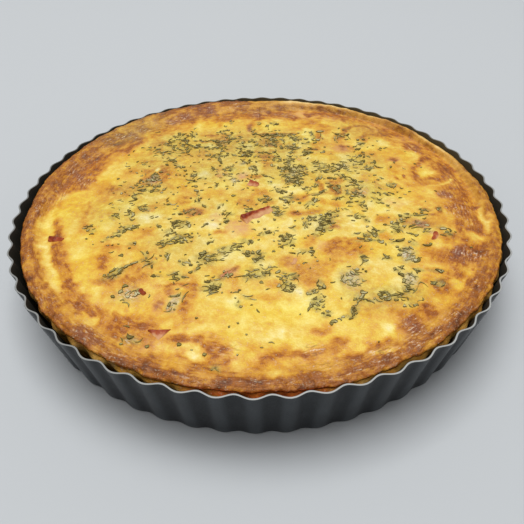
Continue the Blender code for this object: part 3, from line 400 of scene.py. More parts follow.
# Drifts of herb flakes: the same, with how densely they lie as the strength. The flakes are
# drawn drift by drift, so the order of the rows counts.
DRIFTS = (
    # back
    (-19, 98, 1, 2.5, 0.8), (-24, 92, 0.8, 2.5, 0.8), (1, 95, 1.2, 2.5, 0.8), (7, 91, 0.8, 2.5, 0.7),
    (11, 94, 2.5, 2.5, 0.8), (7, 86, 0.8, 1.6, 0.8), (-13, 84, 0.6, 2, 0.8), (-3.5, 86, 0.8, 4, 0.8),
    (-25, 83, 3, 3, 0.7), (-19, 75, 3.5, 4.5, 0.8), (-13, 72, 2.5, 3.5, 0.7), (-24, 67, 4.5, 4.5, 0.8),
    (-40, 71, 8, 1.2, 0.7), (13, 78.5, 12, 1.3, 1), (7, 75, 6, 2.5, 0.8), (-2, 77, 2.5, 2.5, 0.7),
    (20, 76, 5, 1.6, 0.8), (26, 72, 4, 2.5, 0.9), (13, 71, 5, 1.6, 0.8), (9, 66, 4.5, 3.5, 0.9),
    (17, 68, 1.2, 3.5, 0.8), (37.5, 76, 1.3, 5, 0.9), (44, 74, 1, 4, 0.6), (41, 69, 3, 1.2, 0.6),
    (41, 80, 3, 1.2, 0.6), (33, 64, 3, 1.2, 0.8), (36, 67, 1, 2, 0.6), (21, 61, 4, 3.5, 0.9),
    (25, 58, 3, 2.5, 0.8), (14, 60, 3, 3, 0.5), (-10, 64, 1, 4, 0.9), (-13, 61, 1.5, 2.5, 0.7),
    (-8.5, 59.5, 2.5, 2.5, 0.9), (-5, 69, 2, 3, 0.7), (2, 64, 3, 3, 0.6), (-36, 63, 4, 1.6, 0.8),
    (-33, 60, 3.5, 1.6, 0.9), (-27, 62, 1.5, 3, 0.7), (-24, 57, 2.5, 2.5, 0.7),
    (-13, 55, 1.6, 2.6, 0.8), (-6, 53, 6, 1.3, 0.8), (5, 52, 5, 1.2, 0.8), (11, 54, 1.3, 3, 0.8),
    (-39, 55, 0.8, 2, 0.8), (33, 53, 3, 3.5, 0.9), (37, 57, 4, 1.2, 0.6), (42, 53, 3, 1.2, 0.6),
    (-27, 49, 5, 2.5, 0.9), (-11, 48, 4, 1.6, 0.8), (-2, 49, 3, 1.5, 0.6), (24, 52, 3, 3, 0.5),
    (-45, 80, 2, 5, 0.6), (-52, 77, 5, 6, 0.6), (-60, 66, 3, 5, 0.7), (-52, 69, 4, 3, 0.6),
    (-68, 55, 2.5, 4, 0.6), (-60, 53, 4, 3, 0.5), (-51, 57, 3, 3.5, 0.8), (-72, 85, 1.4, 1.2, 0.8),
    (-73, 58, 2, 3, 0.4), (-45, 62, 4, 4, 0.5), (-56, 60, 2, 3, 0.7), (57, 75, 2.5, 4, 0.7),
    (54, 70, 1.2, 4, 0.7), (61, 73, 2, 4, 0.5), (69, 63, 1.6, 3.5, 0.8), (70, 70, 2.5, 3.5, 0.4),
    (84, 57, 2, 1, 0.7), (82, 54, 1.6, 0.9, 0.7, 20), (97, 52, 0.8, 0.8, 0.7), (66, 57, 1.5, 3, 0.5),
    # middle
    (-36, 45, 1.4, 1.2, 0.7), (-25, 43, 1.4, 4, 0.9, 20), (-10, 38.5, 2.8, 3, 0.8),
    (0, 42, 0.8, 1.8, 0.9), (12, 44, 2.6, 3.6, 0.9), (20, 42, 2.6, 5.5, 0.9), (-17, 32, 3.6, 3.6, 0.8),
    (-3, 31, 1.8, 4.8, 0.9, 25), (-28, 31, 1.2, 3.6, 0.8, 30), (-40, 26, 2.6, 3.4, 0.8),
    (-34, 22, 1.6, 1.4, 0.8), (-20, 24, 2.8, 2, 0.8), (-15, 20, 1.6, 3, 0.8),
    (-39, 18, 4, 1.2, 0.9, 25), (-26, 12, 0.8, 2.8, 0.9, 10), (-11, 27, 2.6, 1, 0.6, 20),
    (4, 23.5, 3.6, 0.9, 0.9, -15), (7, 14.5, 1.3, 1.6, 0.9), (9.5, 11, 1, 1, 0.8),
    (-8, 8, 1.3, 1.1, 0.9), (-4, 6, 0.8, 1.3, 0.9), (22, 32, 7.5, 4.5, 1), (21, 25, 7, 4.5, 1),
    (21, 18, 5, 3.6, 0.9), (24, 13, 3.4, 2.6, 0.8), (37, 37.5, 2.8, 2.4, 0.8),
    (41.5, 33, 4.6, 2.4, 0.9), (36, 28, 2.4, 0.9, 0.7, 30), (38, 20.5, 1.5, 4, 0.8, -20),
    (43.5, 28, 2.4, 2.4, 0.8), (35, 12, 1.2, 3, 0.7, -20), (28, 7, 1.7, 2.3, 0.9), (10, 8, 2, 1.8, 0.8),
    (12.5, 5, 1.8, 2.4, 0.8), (16.5, 9, 1.4, 1.2, 0.8), (15, 3.5, 1.4, 1.4, 0.7), (17, -2, 4.4, 3, 0.9),
    (3, -3, 4.2, 2.2, 0.9, -5), (35, 3, 6, 1.3, 0.9, 20), (46, -2, 3, 1.8, 0.9),
    (30, -8, 5.6, 1.6, 0.9, 42), (-36, 1, 0.9, 3.2, 0.9, 10), (-35.5, -4, 1.7, 1.8, 0.8),
    (-31.5, -8, 2.4, 0.9, 0.9, -40), (-22, -8, 2.6, 0.9, 0.9, 45), (-18.5, -4, 0.8, 0.8, 0.9),
    (-6, -4, 0.7, 1.3, 0.8), (-38, -14, 3, 2.6, 0.5), (-45, -15, 2, 1.4, 0.8),
    (-16.5, -17, 2.8, 1.5, 0.9), (-18.5, -22.5, 2, 2.4, 0.9), (-5, -14, 2.6, 2.2, 0.9),
    (9, -13, 2, 3.8, 0.9), (11, -17.5, 2.4, 2.8, 0.8), (14.5, -12, 2, 0.8, 0.8, -10),
    (-43.5, -25.5, 4.6, 3.4, 0.9, -20), (-35, -26, 0.9, 0.8, 0.9), (20, -24, 0.8, 1.5, 0.9),
    (-0.5, -25, 0.7, 1.6, 0.9, 30), (19, -31.5, 1.1, 2.2, 0.9), (2.5, -35.5, 3.4, 1.5, 0.9, 30),
    (4.5, -31, 1.4, 0.8, 0.8, 20), (7.5, -35.5, 0.8, 1.9, 0.9), (-5, -32.5, 1.2, 0.9, 0.9),
    (14, -38.2, 2.7, 2.2, 1, -20), (15.5, -43.5, 3.8, 2.6, 0.9, 20), (11, -41, 1.2, 1.2, 0.7),
    (-7, -42, 3, 1.6, 0.8, -30), (-33.5, -35, 1.1, 1.4, 0.9), (-42, -38, 4.4, 3.6, 1, 20),
    (-27, -41, 2.8, 1.2, 0.7, 20), (-24, -39, 1.4, 0.9, 0.7), (-16, -46.5, 6, 1.7, 0.9, 15),
    (26.5, -27, 1.8, 5.5, 0.8, -15), (29.5, -21.5, 3, 1.4, 0.8, 45), (36.5, -24.5, 4.5, 5.5, 1),
    (41.5, -18, 3, 2.6, 0.9), (35, -32, 4, 3.2, 1, 30), (31, -37, 2, 2, 0.8),
    (26.5, -39, 1.1, 0.6, 0.8, 40), (10, -30, 0.6, 0.6, 0.7), (-29, -1, 0.8, 0.7, 0.7),
    (-12, 17, 0.7, 0.8, 0.6), (28, -13, 1.2, 0.6, 0.7),
    # left
    (-84, 37.5, 2, 1, 0.8), (-78, 42.5, 0.8, 1.4, 0.8), (-74, 39.5, 2.4, 1.8, 0.9),
    (-82, 34.5, 1.3, 0.6, 0.7), (-52, 36.5, 6, 1.3, 0.8, -42), (-58, 45, 4.5, 2.4, 0.7, -30),
    (-50, 30, 1.2, 1.4, 0.6), (-64, 22.5, 2.4, 3.6, 1), (-68, 18, 4, 1.8, 0.8, -15),
    (-70, 13, 6.5, 1.5, 0.6), (-62, 14, 4, 2.5, 0.6), (-68, 8.5, 4.5, 1.6, 0.9),
    (-61, 8, 5.5, 0.8, 0.8, 12), (-72.5, 5, 2.4, 1.3, 0.9, 20), (-73.5, 1, 1.4, 3, 0.9),
    (-72.5, -7, 1.7, 1.1, 0.9, -20), (-66, -9, 3.4, 2, 0.9), (-65.5, -12, 1.6, 1.6, 0.8),
    (-72.5, -15.5, 1.1, 4, 0.9, 25), (-61, -4, 1.1, 0.9, 0.7), (-86, -5, 1.1, 1.6, 0.7),
    (-84, -0.5, 2.4, 0.8, 0.6, -10), (-80.5, -9, 1.3, 1.6, 0.6), (-82, -17.5, 2.2, 3.4, 0.6),
    (-95, -26, 2.6, 1.8, 0.7, -20), (-91.5, -29.5, 2.4, 1.6, 0.8, -20), (-88.5, -20.5, 1.2, 0.8, 0.8),
    (-77, -33.5, 2.8, 2, 0.8), (-70.5, -28, 3.2, 2.4, 0.9), (-74, -31, 3, 1.4, 0.8, 20),
    (-81.5, -38, 2.2, 2, 0.7), (-73.5, -42, 1.2, 1.2, 0.8), (-67.5, -43, 2, 1.8, 0.8, -30),
    (-55, -27, 1.1, 2.6, 0.8, 10), (-57.5, -19, 2, 0.8, 0.8), (-53, -30, 1.2, 0.8, 0.8),
    (-50.5, -20, 2.6, 0.8, 0.8), (-53, -7.5, 3.6, 0.9, 0.7, 10), (-49, -33, 2.6, 2, 0.8, 20),
    (-50, -42, 4.6, 3, 0.8, 20), (-92, -37, 0.8, 0.6, 0.7), (-64, -29, 1.4, 0.8, 0.7),
    (-79, -44, 1.6, 1.1, 0.9), (-49, 6, 1.2, 0.8, 0.8), (-87.5, -42, 0.7, 0.7, 0.6),
    (-60, -28, 1, 1, 0.5), (-66, -25, 1, 1, 0.6),
    # right
    (50, 34, 5, 3.5, 0.6), (46, 28, 4, 4, 0.7), (53, 33, 2.5, 2, 0.5), (56, 28, 2, 3, 0.6),
    (65, 41, 5, 5, 0.5), (63, 36, 3, 2.5, 0.7), (70, 46, 4, 2, 0.5), (70, 30, 2.5, 3.5, 0.9),
    (74, 35, 1.4, 2.8, 0.8), (51, 22, 1.5, 4, 0.8, 20), (56, 16, 3, 2, 0.8, -45), (60, 15, 3, 1.4, 0.7),
    (69, 14, 1.4, 1.4, 0.9), (75, 20, 2, 1.6, 0.6), (80, 12, 2.6, 2.4, 0.9), (74, 8, 2, 1, 0.8),
    (84, 8, 2, 0.8, 0.8), (60, 10, 5, 1.3, 0.8, -25), (58, 5, 5, 4, 0.7), (60, 1, 3, 2, 0.8),
    (71, 3, 6, 1.1, 0.8, -8), (69, -3, 1.3, 3.5, 0.8, 40), (63, -1, 2, 1, 0.6), (47, 8, 1.4, 4.5, 0.9),
    (43, 13, 2, 3, 0.7), (53, -6, 1.2, 2.6, 0.8), (59, -8, 2, 2.8, 0.8), (61, -12, 0.9, 2.4, 0.7),
    (73, -10, 1.6, 1, 0.9, 30), (71, -7, 0.9, 1.3, 0.8), (50, -15, 3.5, 0.8, 0.7, -30),
    (56, -21, 2.8, 2.2, 0.9), (59, -24, 1.6, 1.6, 0.8), (66, -20, 1, 1, 0.5), (71, -29, 2, 1, 0.8, 20),
    (75, -32, 2.6, 4.5, 1, -20), (79, -26, 2.6, 2.6, 0.8), (81, -21, 2.4, 2, 0.9, 40),
    (87, -19.5, 7, 1.2, 1), (88, -28, 5, 3, 0.5), (94, -14, 2.8, 1.4, 0.8), (96, -8, 0.9, 1.9, 0.7),
    (103, -14, 1.6, 2.4, 0.6), (91, -35, 2.4, 2.4, 0.6), (102, -37, 2.8, 2.2, 0.8),
    (99, -32, 3, 1, 0.6), (82, -38, 3, 1.6, 0.6), (62, -38, 1.3, 4, 0.9), (58, -38, 2.6, 2.4, 0.8),
    (52, -37, 3, 0.8, 0.7, 30), (65, -34, 3, 1.2, 0.8, 20), (57, -43, 6, 1, 1), (72, -44, 3, 1.2, 0.8),
    (80, -45, 1.8, 1.6, 0.8), (87, -47, 3, 1, 0.7),
    # front
    (-26.5, -55, 5.5, 4, 0.9, 10), (-18, -50, 4, 1.6, 0.8, 25), (-38, -58, 2.2, 2.6, 0.7),
    (-4, -51.5, 3.4, 1.4, 0.9, -15), (-1, -55, 2.4, 3.8, 1), (1, -52, 2.5, 1, 0.8, -10),
    (-32, -63, 0.9, 3, 0.9, -30), (-41, -68, 3.6, 2.6, 0.9), (-18, -68.5, 3.4, 2, 0.9, 30),
    (-22.5, -73.5, 4, 3, 0.9, 20), (-25, -77.5, 4, 2.2, 0.9, -10), (-20, -80, 2, 0.9, 0.8),
    (-1, -66.5, 4.5, 4, 0.8), (-5, -69, 3, 2, 0.8, 20), (4, -67, 2.5, 2, 0.6), (15, -69, 3.4, 2.2, 1),
    (11, -66.5, 1.2, 2, 0.7, 30), (9, -70, 1.4, 0.6, 0.9), (6, -63, 3, 0.7, 0.9, 10),
    (24.5, -65, 0.6, 1.3, 0.9), (12.5, -76, 3.2, 3.8, 1), (10.5, -72.5, 1.6, 1, 0.8),
    (-11, -79, 1, 1.8, 0.9), (-6, -83, 3, 0.9, 0.8, -30), (-10, -87.5, 1.1, 2.2, 0.8),
    (-5, -88, 0.9, 0.9, 0.8), (-1, -91, 0.8, 1, 0.8), (24.5, -80.5, 2.8, 1.6, 0.9, 20),
    (29, -75, 1.8, 3.4, 0.8, -20), (26.5, -86.5, 2.8, 3.6, 1, -20), (26, -90, 1.8, 1.8, 0.9),
    (30, -94, 2.2, 1.6, 0.9, 20), (31, -100, 1, 0.9, 0.9), (44, -72, 4.6, 4.6, 0.95),
    (47, -84, 1.8, 3.4, 0.9, -15), (43.5, -92, 1.4, 4, 0.9, -35), (40, -96.5, 3.4, 1, 0.9, 10),
    (35, -98.5, 3, 0.6, 1), (18, -94, 0.7, 0.7, 1), (-13.5, -100.5, 0.9, 0.8, 0.9),
    (-10.5, -98.5, 0.8, 0.7, 0.9), (-6, -106, 0.7, 0.6, 1), (37, -85, 0.7, 0.9, 0.9),
    (-40, -85, 2.6, 4.6, 0.8, -20), (-38, -77.5, 1.6, 0.9, 0.9), (-30, -113, 0.6, 0.5, 1),
    (-19.5, -122.5, 2, 1.3, 1, -30), (-10, -117, 0.6, 0.6, 0.9), (23, -51, 4, 2.4, 0.6),
    (26, -55, 1.4, 1, 0.8), (-9, -49, 3, 1, 0.6, -30), (3, -78.5, 2.4, 0.5, 0.6, 30),
    (-43, -121, 1.2, 0.7, 0.8), (-72, -65, 6, 2.2, 1, 38), (-61, -57.5, 4.5, 0.9, 0.9, 25),
    (-55, -59.5, 2.6, 2.6, 0.8), (-51.5, -68.5, 3.8, 0.6, 0.9, 3), (-47.5, -52, 1.1, 3.6, 0.9),
    (-59, -52, 1.1, 2.8, 0.8, 20), (-50, -66, 1, 0.7, 0.9), (-62, -80.5, 6, 4.2, 0.5, -10),
    (-52, -82.5, 1.4, 0.8, 0.9), (-57.5, -107, 3, 1.6, 0.8, -10), (-50.5, -111, 1.4, 1.4, 0.6),
    (-60, -99, 2.8, 0.6, 0.7), (64, -56.5, 2.6, 1.5, 0.9), (52.5, -57.5, 1.8, 3.5, 0.9),
    (75.5, -54, 3.6, 5.5, 1), (69, -66, 2.6, 2, 0.8), (73, -72.5, 3.2, 4, 0.9),
    (79, -66, 2.4, 1.4, 0.9), (87, -66.5, 3.5, 1.2, 0.6, -20), (69.5, -79, 1.6, 2.4, 0.9),
    (51, -66.5, 2, 0.9, 0.8), (72, -78.5, 3, 1, 0.7), (53, -86.5, 6, 1.2, 0.9),
    (63, -84, 6, 2.2, 0.8, 5), (70, -81.5, 6, 0.8, 0.8, 8), (75.5, -85.4, 1.8, 1.1, 0.9),
    (69, -88.5, 4, 2.4, 0.6), (59, -81, 4, 1.4, 0.7, -20), (86, -75, 2.6, 2.6, 0.9),
    (86.5, -92, 1, 1, 0.8), (51, -110.5, 1.5, 0.9, 0.8),
    # a thin scatter all over
    (-10, 62, 45, 20, 0.09), (20, 28, 45, 20, 0.06), (-25, 0, 45, 28, 0.045), (40, -36, 38, 28, 0.035),
    (-48, -35, 34, 24, 0.035), (70, 20, 22, 30, 0.035), (-70, 40, 20, 26, 0.04),
    (0, -100, 60, 14, 0.008), (-60, 10, 28, 22, 0.05), (62, 72, 20, 12, 0.04, -20),
)

FLAKES_PER_AREA = 0.36        # flakes to a square millimetre where a drift is at its densest
LINE_OF_FLAKES = 2.2          # a drift this much longer than wide has its flakes lying along it
THIN_DRIFT = 0.1              # the thin scatter is less dense than this
STAIN_AREA = 2.0              # a drift's half sizes multiply to more than this where it stains

# Where herbs stain the top: under their larger drifts, and in the washes
STAINS = tuple(row for row in DRIFTS
               if row[2] * row[3] > STAIN_AREA and row[4] > THIN_DRIFT) + WASHES

# Uneven layers: how far each swings, how much further where it gains, size of its features, and
# its seed. A layered noise takes the seeds that follow its own, too.
TONE_BROAD = (0.4, 0.0, 0.016, 21)
TONE_BLOTCHES = (0.46, 0.15, 0.0065, 25)              # gains where browned
TONE_SPECKS = (0.28, 0.15, 0.0024, 29)                # gains where browned
SKIN_LUMPS = (0.00030, 0.0, 0.011, 31)
SKIN_DIMPLES = (0.00014, 0.00016, 0.0036, 35)         # gains on the lip
SKIN_PORES = (0.00008, 0.00016, 0.0017, 37)           # gains where browned
EDGE_WAVES = (0.00045, 0.0, 0.009, 41)
EDGE_TEETH = (0.00022, 0.0, 0.0022, 47)
SIDE_CRUMBS = (0.00018, 0.0, 0.0016, 43)
SIDE_BLOTCHES = (0.5, 0.0, 0.006, 57)

# Ribs, which run along the rim in the browned parts
RIB_LENGTH, RIB_WIDTH, RIB_SEED = 0.0075, 0.0022, 33
RIB_SWAY = (0.0015, 0.0, 0.012, 36)
RIB_TONE, RIB_TONE_BROWNED = 0.15, 0.65               # swing of the tone on the ribs
RIB_HEIGHT = 0.00022                                  # and of the height, where browned
BROWNED_DROP = 0.00004        # the skin sinks by this for each tone above the plain one

# How warped places sway: size of the features, reach in millimetres, seed
WARPS = ((0.012, 0.7, 11), (0.005, 1.0, 13), (0.0022, 0.7, 15))


# ---------------------------------------------------------------------------
# Noise and blends
# ---------------------------------------------------------------------------
LATTICE = 256                 # noise repeats after this many of its features
NOISE_TURN = 0.7              # by how much each seed turns the lattice, in radians


def blend(low, high, value):
    """How far a value lies from low to high, from 0 to 1."""
    return np.clip((value - low) / (high - low), 0.0, 1.0)


def smooth(share):
    """A share of 0 to 1 that starts and ends gently."""
    return share * share * (3.0 - 2.0 * share)


def soft_step(low, high, value):
    """Like blend, but it starts and ends gently."""
    return smooth(blend(low, high, value))


def noise(x, y, size, seed):
    """Smooth random relief from -1 to 1, with features of about the given size."""
    table = np.random.default_rng(seed).uniform(-1.0, 1.0, (LATTICE, LATTICE))
    u = np.asarray(x, float) / size
    v = np.asarray(y, float) / size
    column = np.floor(u).astype(int)
    row = np.floor(v).astype(int)
    along = smooth(u - column)
    across = smooth(v - row)
    column_next = (column + 1) % LATTICE
    row_next = (row + 1) % LATTICE
    column = column % LATTICE
    row = row % LATTICE
    near = table[row, column] * (1.0 - along) + table[row, column_next] * along
    far = table[row_next, column] * (1.0 - along) + table[row_next, column_next] * along
    return near * (1.0 - across) + far * across


def turned_noise(x, y, size, seed):
    """Noise whose lattice is turned by its seed, so that two layers don't line up."""
    angle = NOISE_TURN * seed
    return noise(x * math.cos(angle) - y * math.sin(angle),
                 x * math.sin(angle) + y * math.cos(angle), size, seed)


def layered(x, y, size, seed, layers=3):
    """Noise in several sizes, each half as large and half as strong as the last."""
    total = 0.0
    for layer in range(layers):
        total = total + turned_noise(x, y, size / 2.0 ** layer, seed + layer) / 2.0 ** layer
    return total


def uneven(kind, x, y, layer, gain=0.0):
    """One uneven layer, of noise of a kind; the gain says how much of its further swing shows."""
    swing, further, size, seed = layer
    return (swing + further * gain) * kind(x, y, size, seed)


def about_middle(x, y):
    """Radius and angle of places about the food's own middle."""
    return np.hypot(x - FOOD_SHIFT, y), np.arctan2(y, x - FOOD_SHIFT)


def food_place(radius, angle):
    """Places at a radius and angle about the food's own middle."""
    return radius * np.cos(angle) + FOOD_SHIFT, radius * np.sin(angle)


def along_rim(x, y):
    """Places as lengths round and out from the middle; the ends of the first meet at the back."""
    radius, angle = about_middle(x, y)
    return ((angle + 1.5 * math.pi) % math.tau) * FILLING_RADIUS, radius


def ribs(x, y):
    """Noise drawn out along the rim."""
    along, out = along_rim(x, y)
    sway = uneven(turned_noise, x, y, RIB_SWAY)
    return noise(along / RIB_LENGTH * RIB_WIDTH, out + sway, RIB_WIDTH, RIB_SEED)


def around(table, angle):
    """A value from rows of (degrees, value), blended round the full turn."""
    degrees = [row[0] for row in table]
    values = [row[1] for row in table]
    return np.interp(np.degrees(angle) % 360.0, degrees + [360.0], values + [values[0]])


def even(value, like):
    """The same value in the shape of an array."""
    return np.full(np.shape(like), value)


def flute(angle):
    """The tin's fluting: 1 on a crest, -1 in a crease, with creases a little sharper."""
    wave = np.cos(FLUTES * (angle - FLUTE_START))
    return wave + CREASING * (1.0 - wave * wave)


# ---------------------------------------------------------------------------
# Shape of the food
# ---------------------------------------------------------------------------
def lip_form(angle):
    """The lip's measures at angles, between the rows of its table."""
    degrees = np.degrees(angle)
    turns = [row[0] for row in LIP]
    return [np.interp(degrees, turns, [row[column] for row in LIP]) for column in range(1, 7)]


def join_radius(angle):
    """Radius of the upright seam between custard and pastry."""
    return np.maximum(FILLING_RADIUS, lip_form(angle)[0])


def inner_radius(height, angle):
    """Radius of the case's inner wall at a height."""
    reach = blend(CASE_BOTTOM + CASE_FLOOR, CASE_INNER_TOP, height)
    return CASE_INNER_BASE_RADIUS + reach * (join_radius(angle) - CASE_INNER_BASE_RADIUS)


def custard_level(x, y):
    """Height of the custard's gently domed skin, with its swells and hollows."""
    share = np.minimum(about_middle(x, y)[0] / FILLING_RADIUS, 1.0)
    height = FILLING_EDGE + FILLING_DOME * (1.0 - share ** 4)
    height = height - FILLING_TILT * share * y / FILLING_RADIUS
    for swell_x, swell_y, spread, rise in SWELLS:
        away = ((x - swell_x) ** 2 + (y - swell_y) ** 2) / spread ** 2
        height = height + rise * np.exp(-away)
    return height


def skin(x, y):
    """Height of the quiche's top before its fine relief: custard, channel and lip."""
    radius, angle = about_middle(x, y)
    start, crest, crest_height, edge, _, channel = lip_form(angle)
    height = custard_level(x, y)
    height = height - channel * np.exp(-((radius - start + CHANNEL_INSET) / CHANNEL_WIDTH) ** 2)
    ripple = sum(np.sin(waves * angle + phase) for waves, phase in RIPPLES)
    crest_height = crest_height + LIP_RIPPLE * ripple
    height = height + (crest_height - height) * soft_step(start, crest, radius)
    return height - LIP_DROP * blend(crest, edge, radius) ** 2


def warped(x, y):
    """Places in millimetres from the tin's middle, bent so that patches get ragged edges."""
    shift_x = 0.0
    shift_y = 0.0
    for size, reach, seed in WARPS:
        shift_x = shift_x + reach * turned_noise(x, y, size, seed)
        shift_y = shift_y + reach * turned_noise(x, y, size, seed + 1)
    return x / MM + shift_x, y / MM + shift_y


def patch_turn(patch):
    """The angle that a row of a table of places lies at."""
    return math.radians(sum(patch[5:]))


def patch_share(x, y, patch):
    """How much of a patch shows at a place: 1 in its middle, 0 outside."""
    centre_x, centre_y, length, width = patch[:4]
    angle = patch_turn(patch)
    dx = x - centre_x
    dy = y - centre_y
    along = (dx * math.cos(angle) + dy * math.sin(angle)) / length
    across = (dy * math.cos(angle) - dx * math.sin(angle)) / width
    return np.exp(-((along ** 2 + across ** 2) / PATCH_REACH ** 2) ** PATCH_FALL)


def streak_share(x, y, points, width):
    """How close a place lies to a line of points, from 0 to 1."""
    nearest = np.full(np.shape(x), np.inf)
    for (ax, ay), (bx, by) in zip(points, points[1:]):
        run_x, run_y = bx - ax, by - ay
        share = ((x - ax) * run_x + (y - ay) * run_y) / (run_x ** 2 + run_y ** 2)
        share = np.clip(share, 0.0, 1.0)
        nearest = np.minimum(nearest, np.hypot(x - ax - share * run_x, y - ay - share * run_y))
    return np.exp(-(nearest / width) ** STREAK_FALL)


def strongest(x, y, table):
    """The greatest share of a table's patches at places, by their strengths."""
    total = np.zeros(np.shape(x))
    for patch in table:
        total = np.maximum(total, patch[4] * patch_share(x, y, patch))
    return total


def bake_tone(x, y):
    """The top's tone from 0, cream, to 6, dark brown."""
    wx, wy = warped(x, y)
    radius, angle = about_middle(x, y)
    start, crest = lip_form(angle)[:2]
    tone = BASE_TONE + uneven(layered, x, y, TONE_BROAD)
    ring = soft_step(*RING_FADE, np.hypot(wx, wy) - around(RING, angle))
    tone = tone + (RING_TONE - tone) * RING_STRENGTH * ring
    lip_start = (1.0 - LIP_TONE_START) * start + LIP_TONE_START * crest - LIP_TONE_LEAD
    tone = tone + (around(LIP_TONES, angle) - tone) * soft_step(lip_start, crest, radius)
    for patch in PATCHES:
        tone = tone + (patch[4] - tone) * PATCH_STRENGTH * patch_share(wx, wy, patch)
    for points, width, streak_tone in STREAKS:
        tone = tone + (streak_tone - tone) * streak_share(wx, wy, points, width)
    browned = soft_step(*BROWNED_TONES, tone)
    tone = tone + uneven(layered, x, y, TONE_BLOTCHES, browned)
    tone = tone + uneven(turned_noise, x, y, TONE_SPECKS, browned)
    tone = tone + (RIB_TONE + RIB_TONE_BROWNED * browned) * ribs(x, y)
    # Painted shade: the lip's outer slope is darkened in its tone
    slope = soft_step(crest + SLOPE_START, crest + SLOPE_END, radius)
    tone = tone + around(OUTER_SLOPE_SHADE, angle) * slope
    return np.clip(tone, 0.0, TONES)


def pastry_share(x, y):
    """How much a place looks like bare pastry rather than custard."""
    radius, angle = about_middle(x, y)
    start = lip_form(angle)[0]
    return around(BARE_PASTRY, angle) * soft_step(start - PASTRY_LEAD, start + PASTRY_LAG, radius)


def top_height(x, y, tone):
    """Height of the finished top: lumps, and the wrinkles of its browned parts."""
    browned = soft_step(*WRINKLED_TONES, tone)
    radius, angle = about_middle(x, y)
    start, crest = lip_form(angle)[:2]
    lip = soft_step(start, crest, radius)
    height = skin(x, y)
    height = height + uneven(layered, x, y, SKIN_LUMPS)
    height = height + uneven(turned_noise, x, y, SKIN_DIMPLES, lip)
    height = height + browned * RIB_HEIGHT * ribs(x, y)
    height = height + uneven(turned_noise, x, y, SKIN_PORES, browned)
    return height - BROWNED_DROP * (tone - BASE_TONE)


# ---------------------------------------------------------------------------
# Meshes
# ---------------------------------------------------------------------------
def add_attributes(mesh, attributes):
    """Gives a mesh's points the numbers that its material reads."""
    for key, values in attributes.items():
        layer = mesh.attributes.new(key, "FLOAT", "POINT")
        layer.data.foreach_set("value", np.asarray(values, np.float32).ravel())


def show(name, data):
    """Puts a new object with its data in the scene."""
    made = bpy.data.objects.new(name, data)
    bpy.context.scene.collection.objects.link(made)
    return made


def mesh_object(name, vertices, faces, finish, attributes):
    """A smooth mesh object with its material and its point attributes."""
    mesh = bpy.data.meshes.new(name)
    mesh.from_pydata(np.reshape(vertices, (-1, 3)).tolist(), [], faces)
    add_attributes(mesh, attributes)
    mesh.materials.append(finish)
    mesh.shade_smooth()
    mesh.update()
    return show(name, mesh)


def grid_faces(rows, columns, wrap):
    """Quads of a grid of points in rows; wrap joins the last column to the first."""
    index = np.arange(rows * columns).reshape(rows, columns)
    right = np.roll(index, -1, axis=1)
    if not wrap:
        index, right = index[:, :-1], right[:, :-1]
    quads = np.stack([index[:-1], index[1:], right[1:], right[:-1]], axis=-1)
    return quads.reshape(-1, 4)


def disc_grid(cells):
    """Points of a square grid spread evenly over a disc of radius 1, in rows."""
    steps = np.linspace(-1.0, 1.0, cells + 1)
    a, b = np.meshgrid(steps, steps)
    wide = np.abs(a) >= np.abs(b)
    safe_a = np.where(a == 0.0, 1.0, a)
    safe_b = np.where(b == 0.0, 1.0, b)
    quarter = math.pi / 4.0
    angle = np.where(wide, quarter * b / safe_a, math.pi / 2.0 - quarter * a / safe_b)
    radius = np.where(wide, a, b)
    return radius * np.cos(angle), radius * np.sin(angle)


def edge_loop(rows, columns):
    """Indices of the outer points of a grid, in order round it."""
    index = np.arange(rows * columns).reshape(rows, columns)
    return np.concatenate([index[0, :-1], index[:-1, -1], index[-1, :0:-1], index[:0:-1, 0]])


def top_attributes(x, y, tone):
    """The point attributes that the baked material reads."""
    wx, wy = warped(x, y)
    attributes = {"tone": tone / TONES, "pastry": pastry_share(x, y)}
    for key, table in (("glint", GLINTS), ("pink", PINKS), ("stain", STAINS), ("pale", PALES),
                       ("deep", DEEPS)):
        attributes[key] = strongest(wx, wy, table)
    attributes["along"], attributes["out"] = along_rim(x, y)
    return attributes


# ---------------------------------------------------------------------------
# Materials
# ---------------------------------------------------------------------------
def srgb(red, green, blue):
    """A colour of 0 to 255 a channel as the linear colour that shaders take."""
    channels = []
    for value in (red, green, blue):
        share = value / 255.0
        channels.append(share / 12.92 if share <= 0.04045 else ((share + 0.055) / 1.055) ** 2.4)
    return (*channels, 1.0)


def stops(*rows):
    """Stops of a colour ramp from rows of (position, red, green, blue)."""
    return [(row[0], srgb(*row[1:])) for row in rows]


def tone_stops(*colours):
    """Stops of a colour ramp with one colour to each tone, from 0 to 6."""
    return [(tone / TONES, srgb(*colour)) for tone, colour in enumerate(colours)]


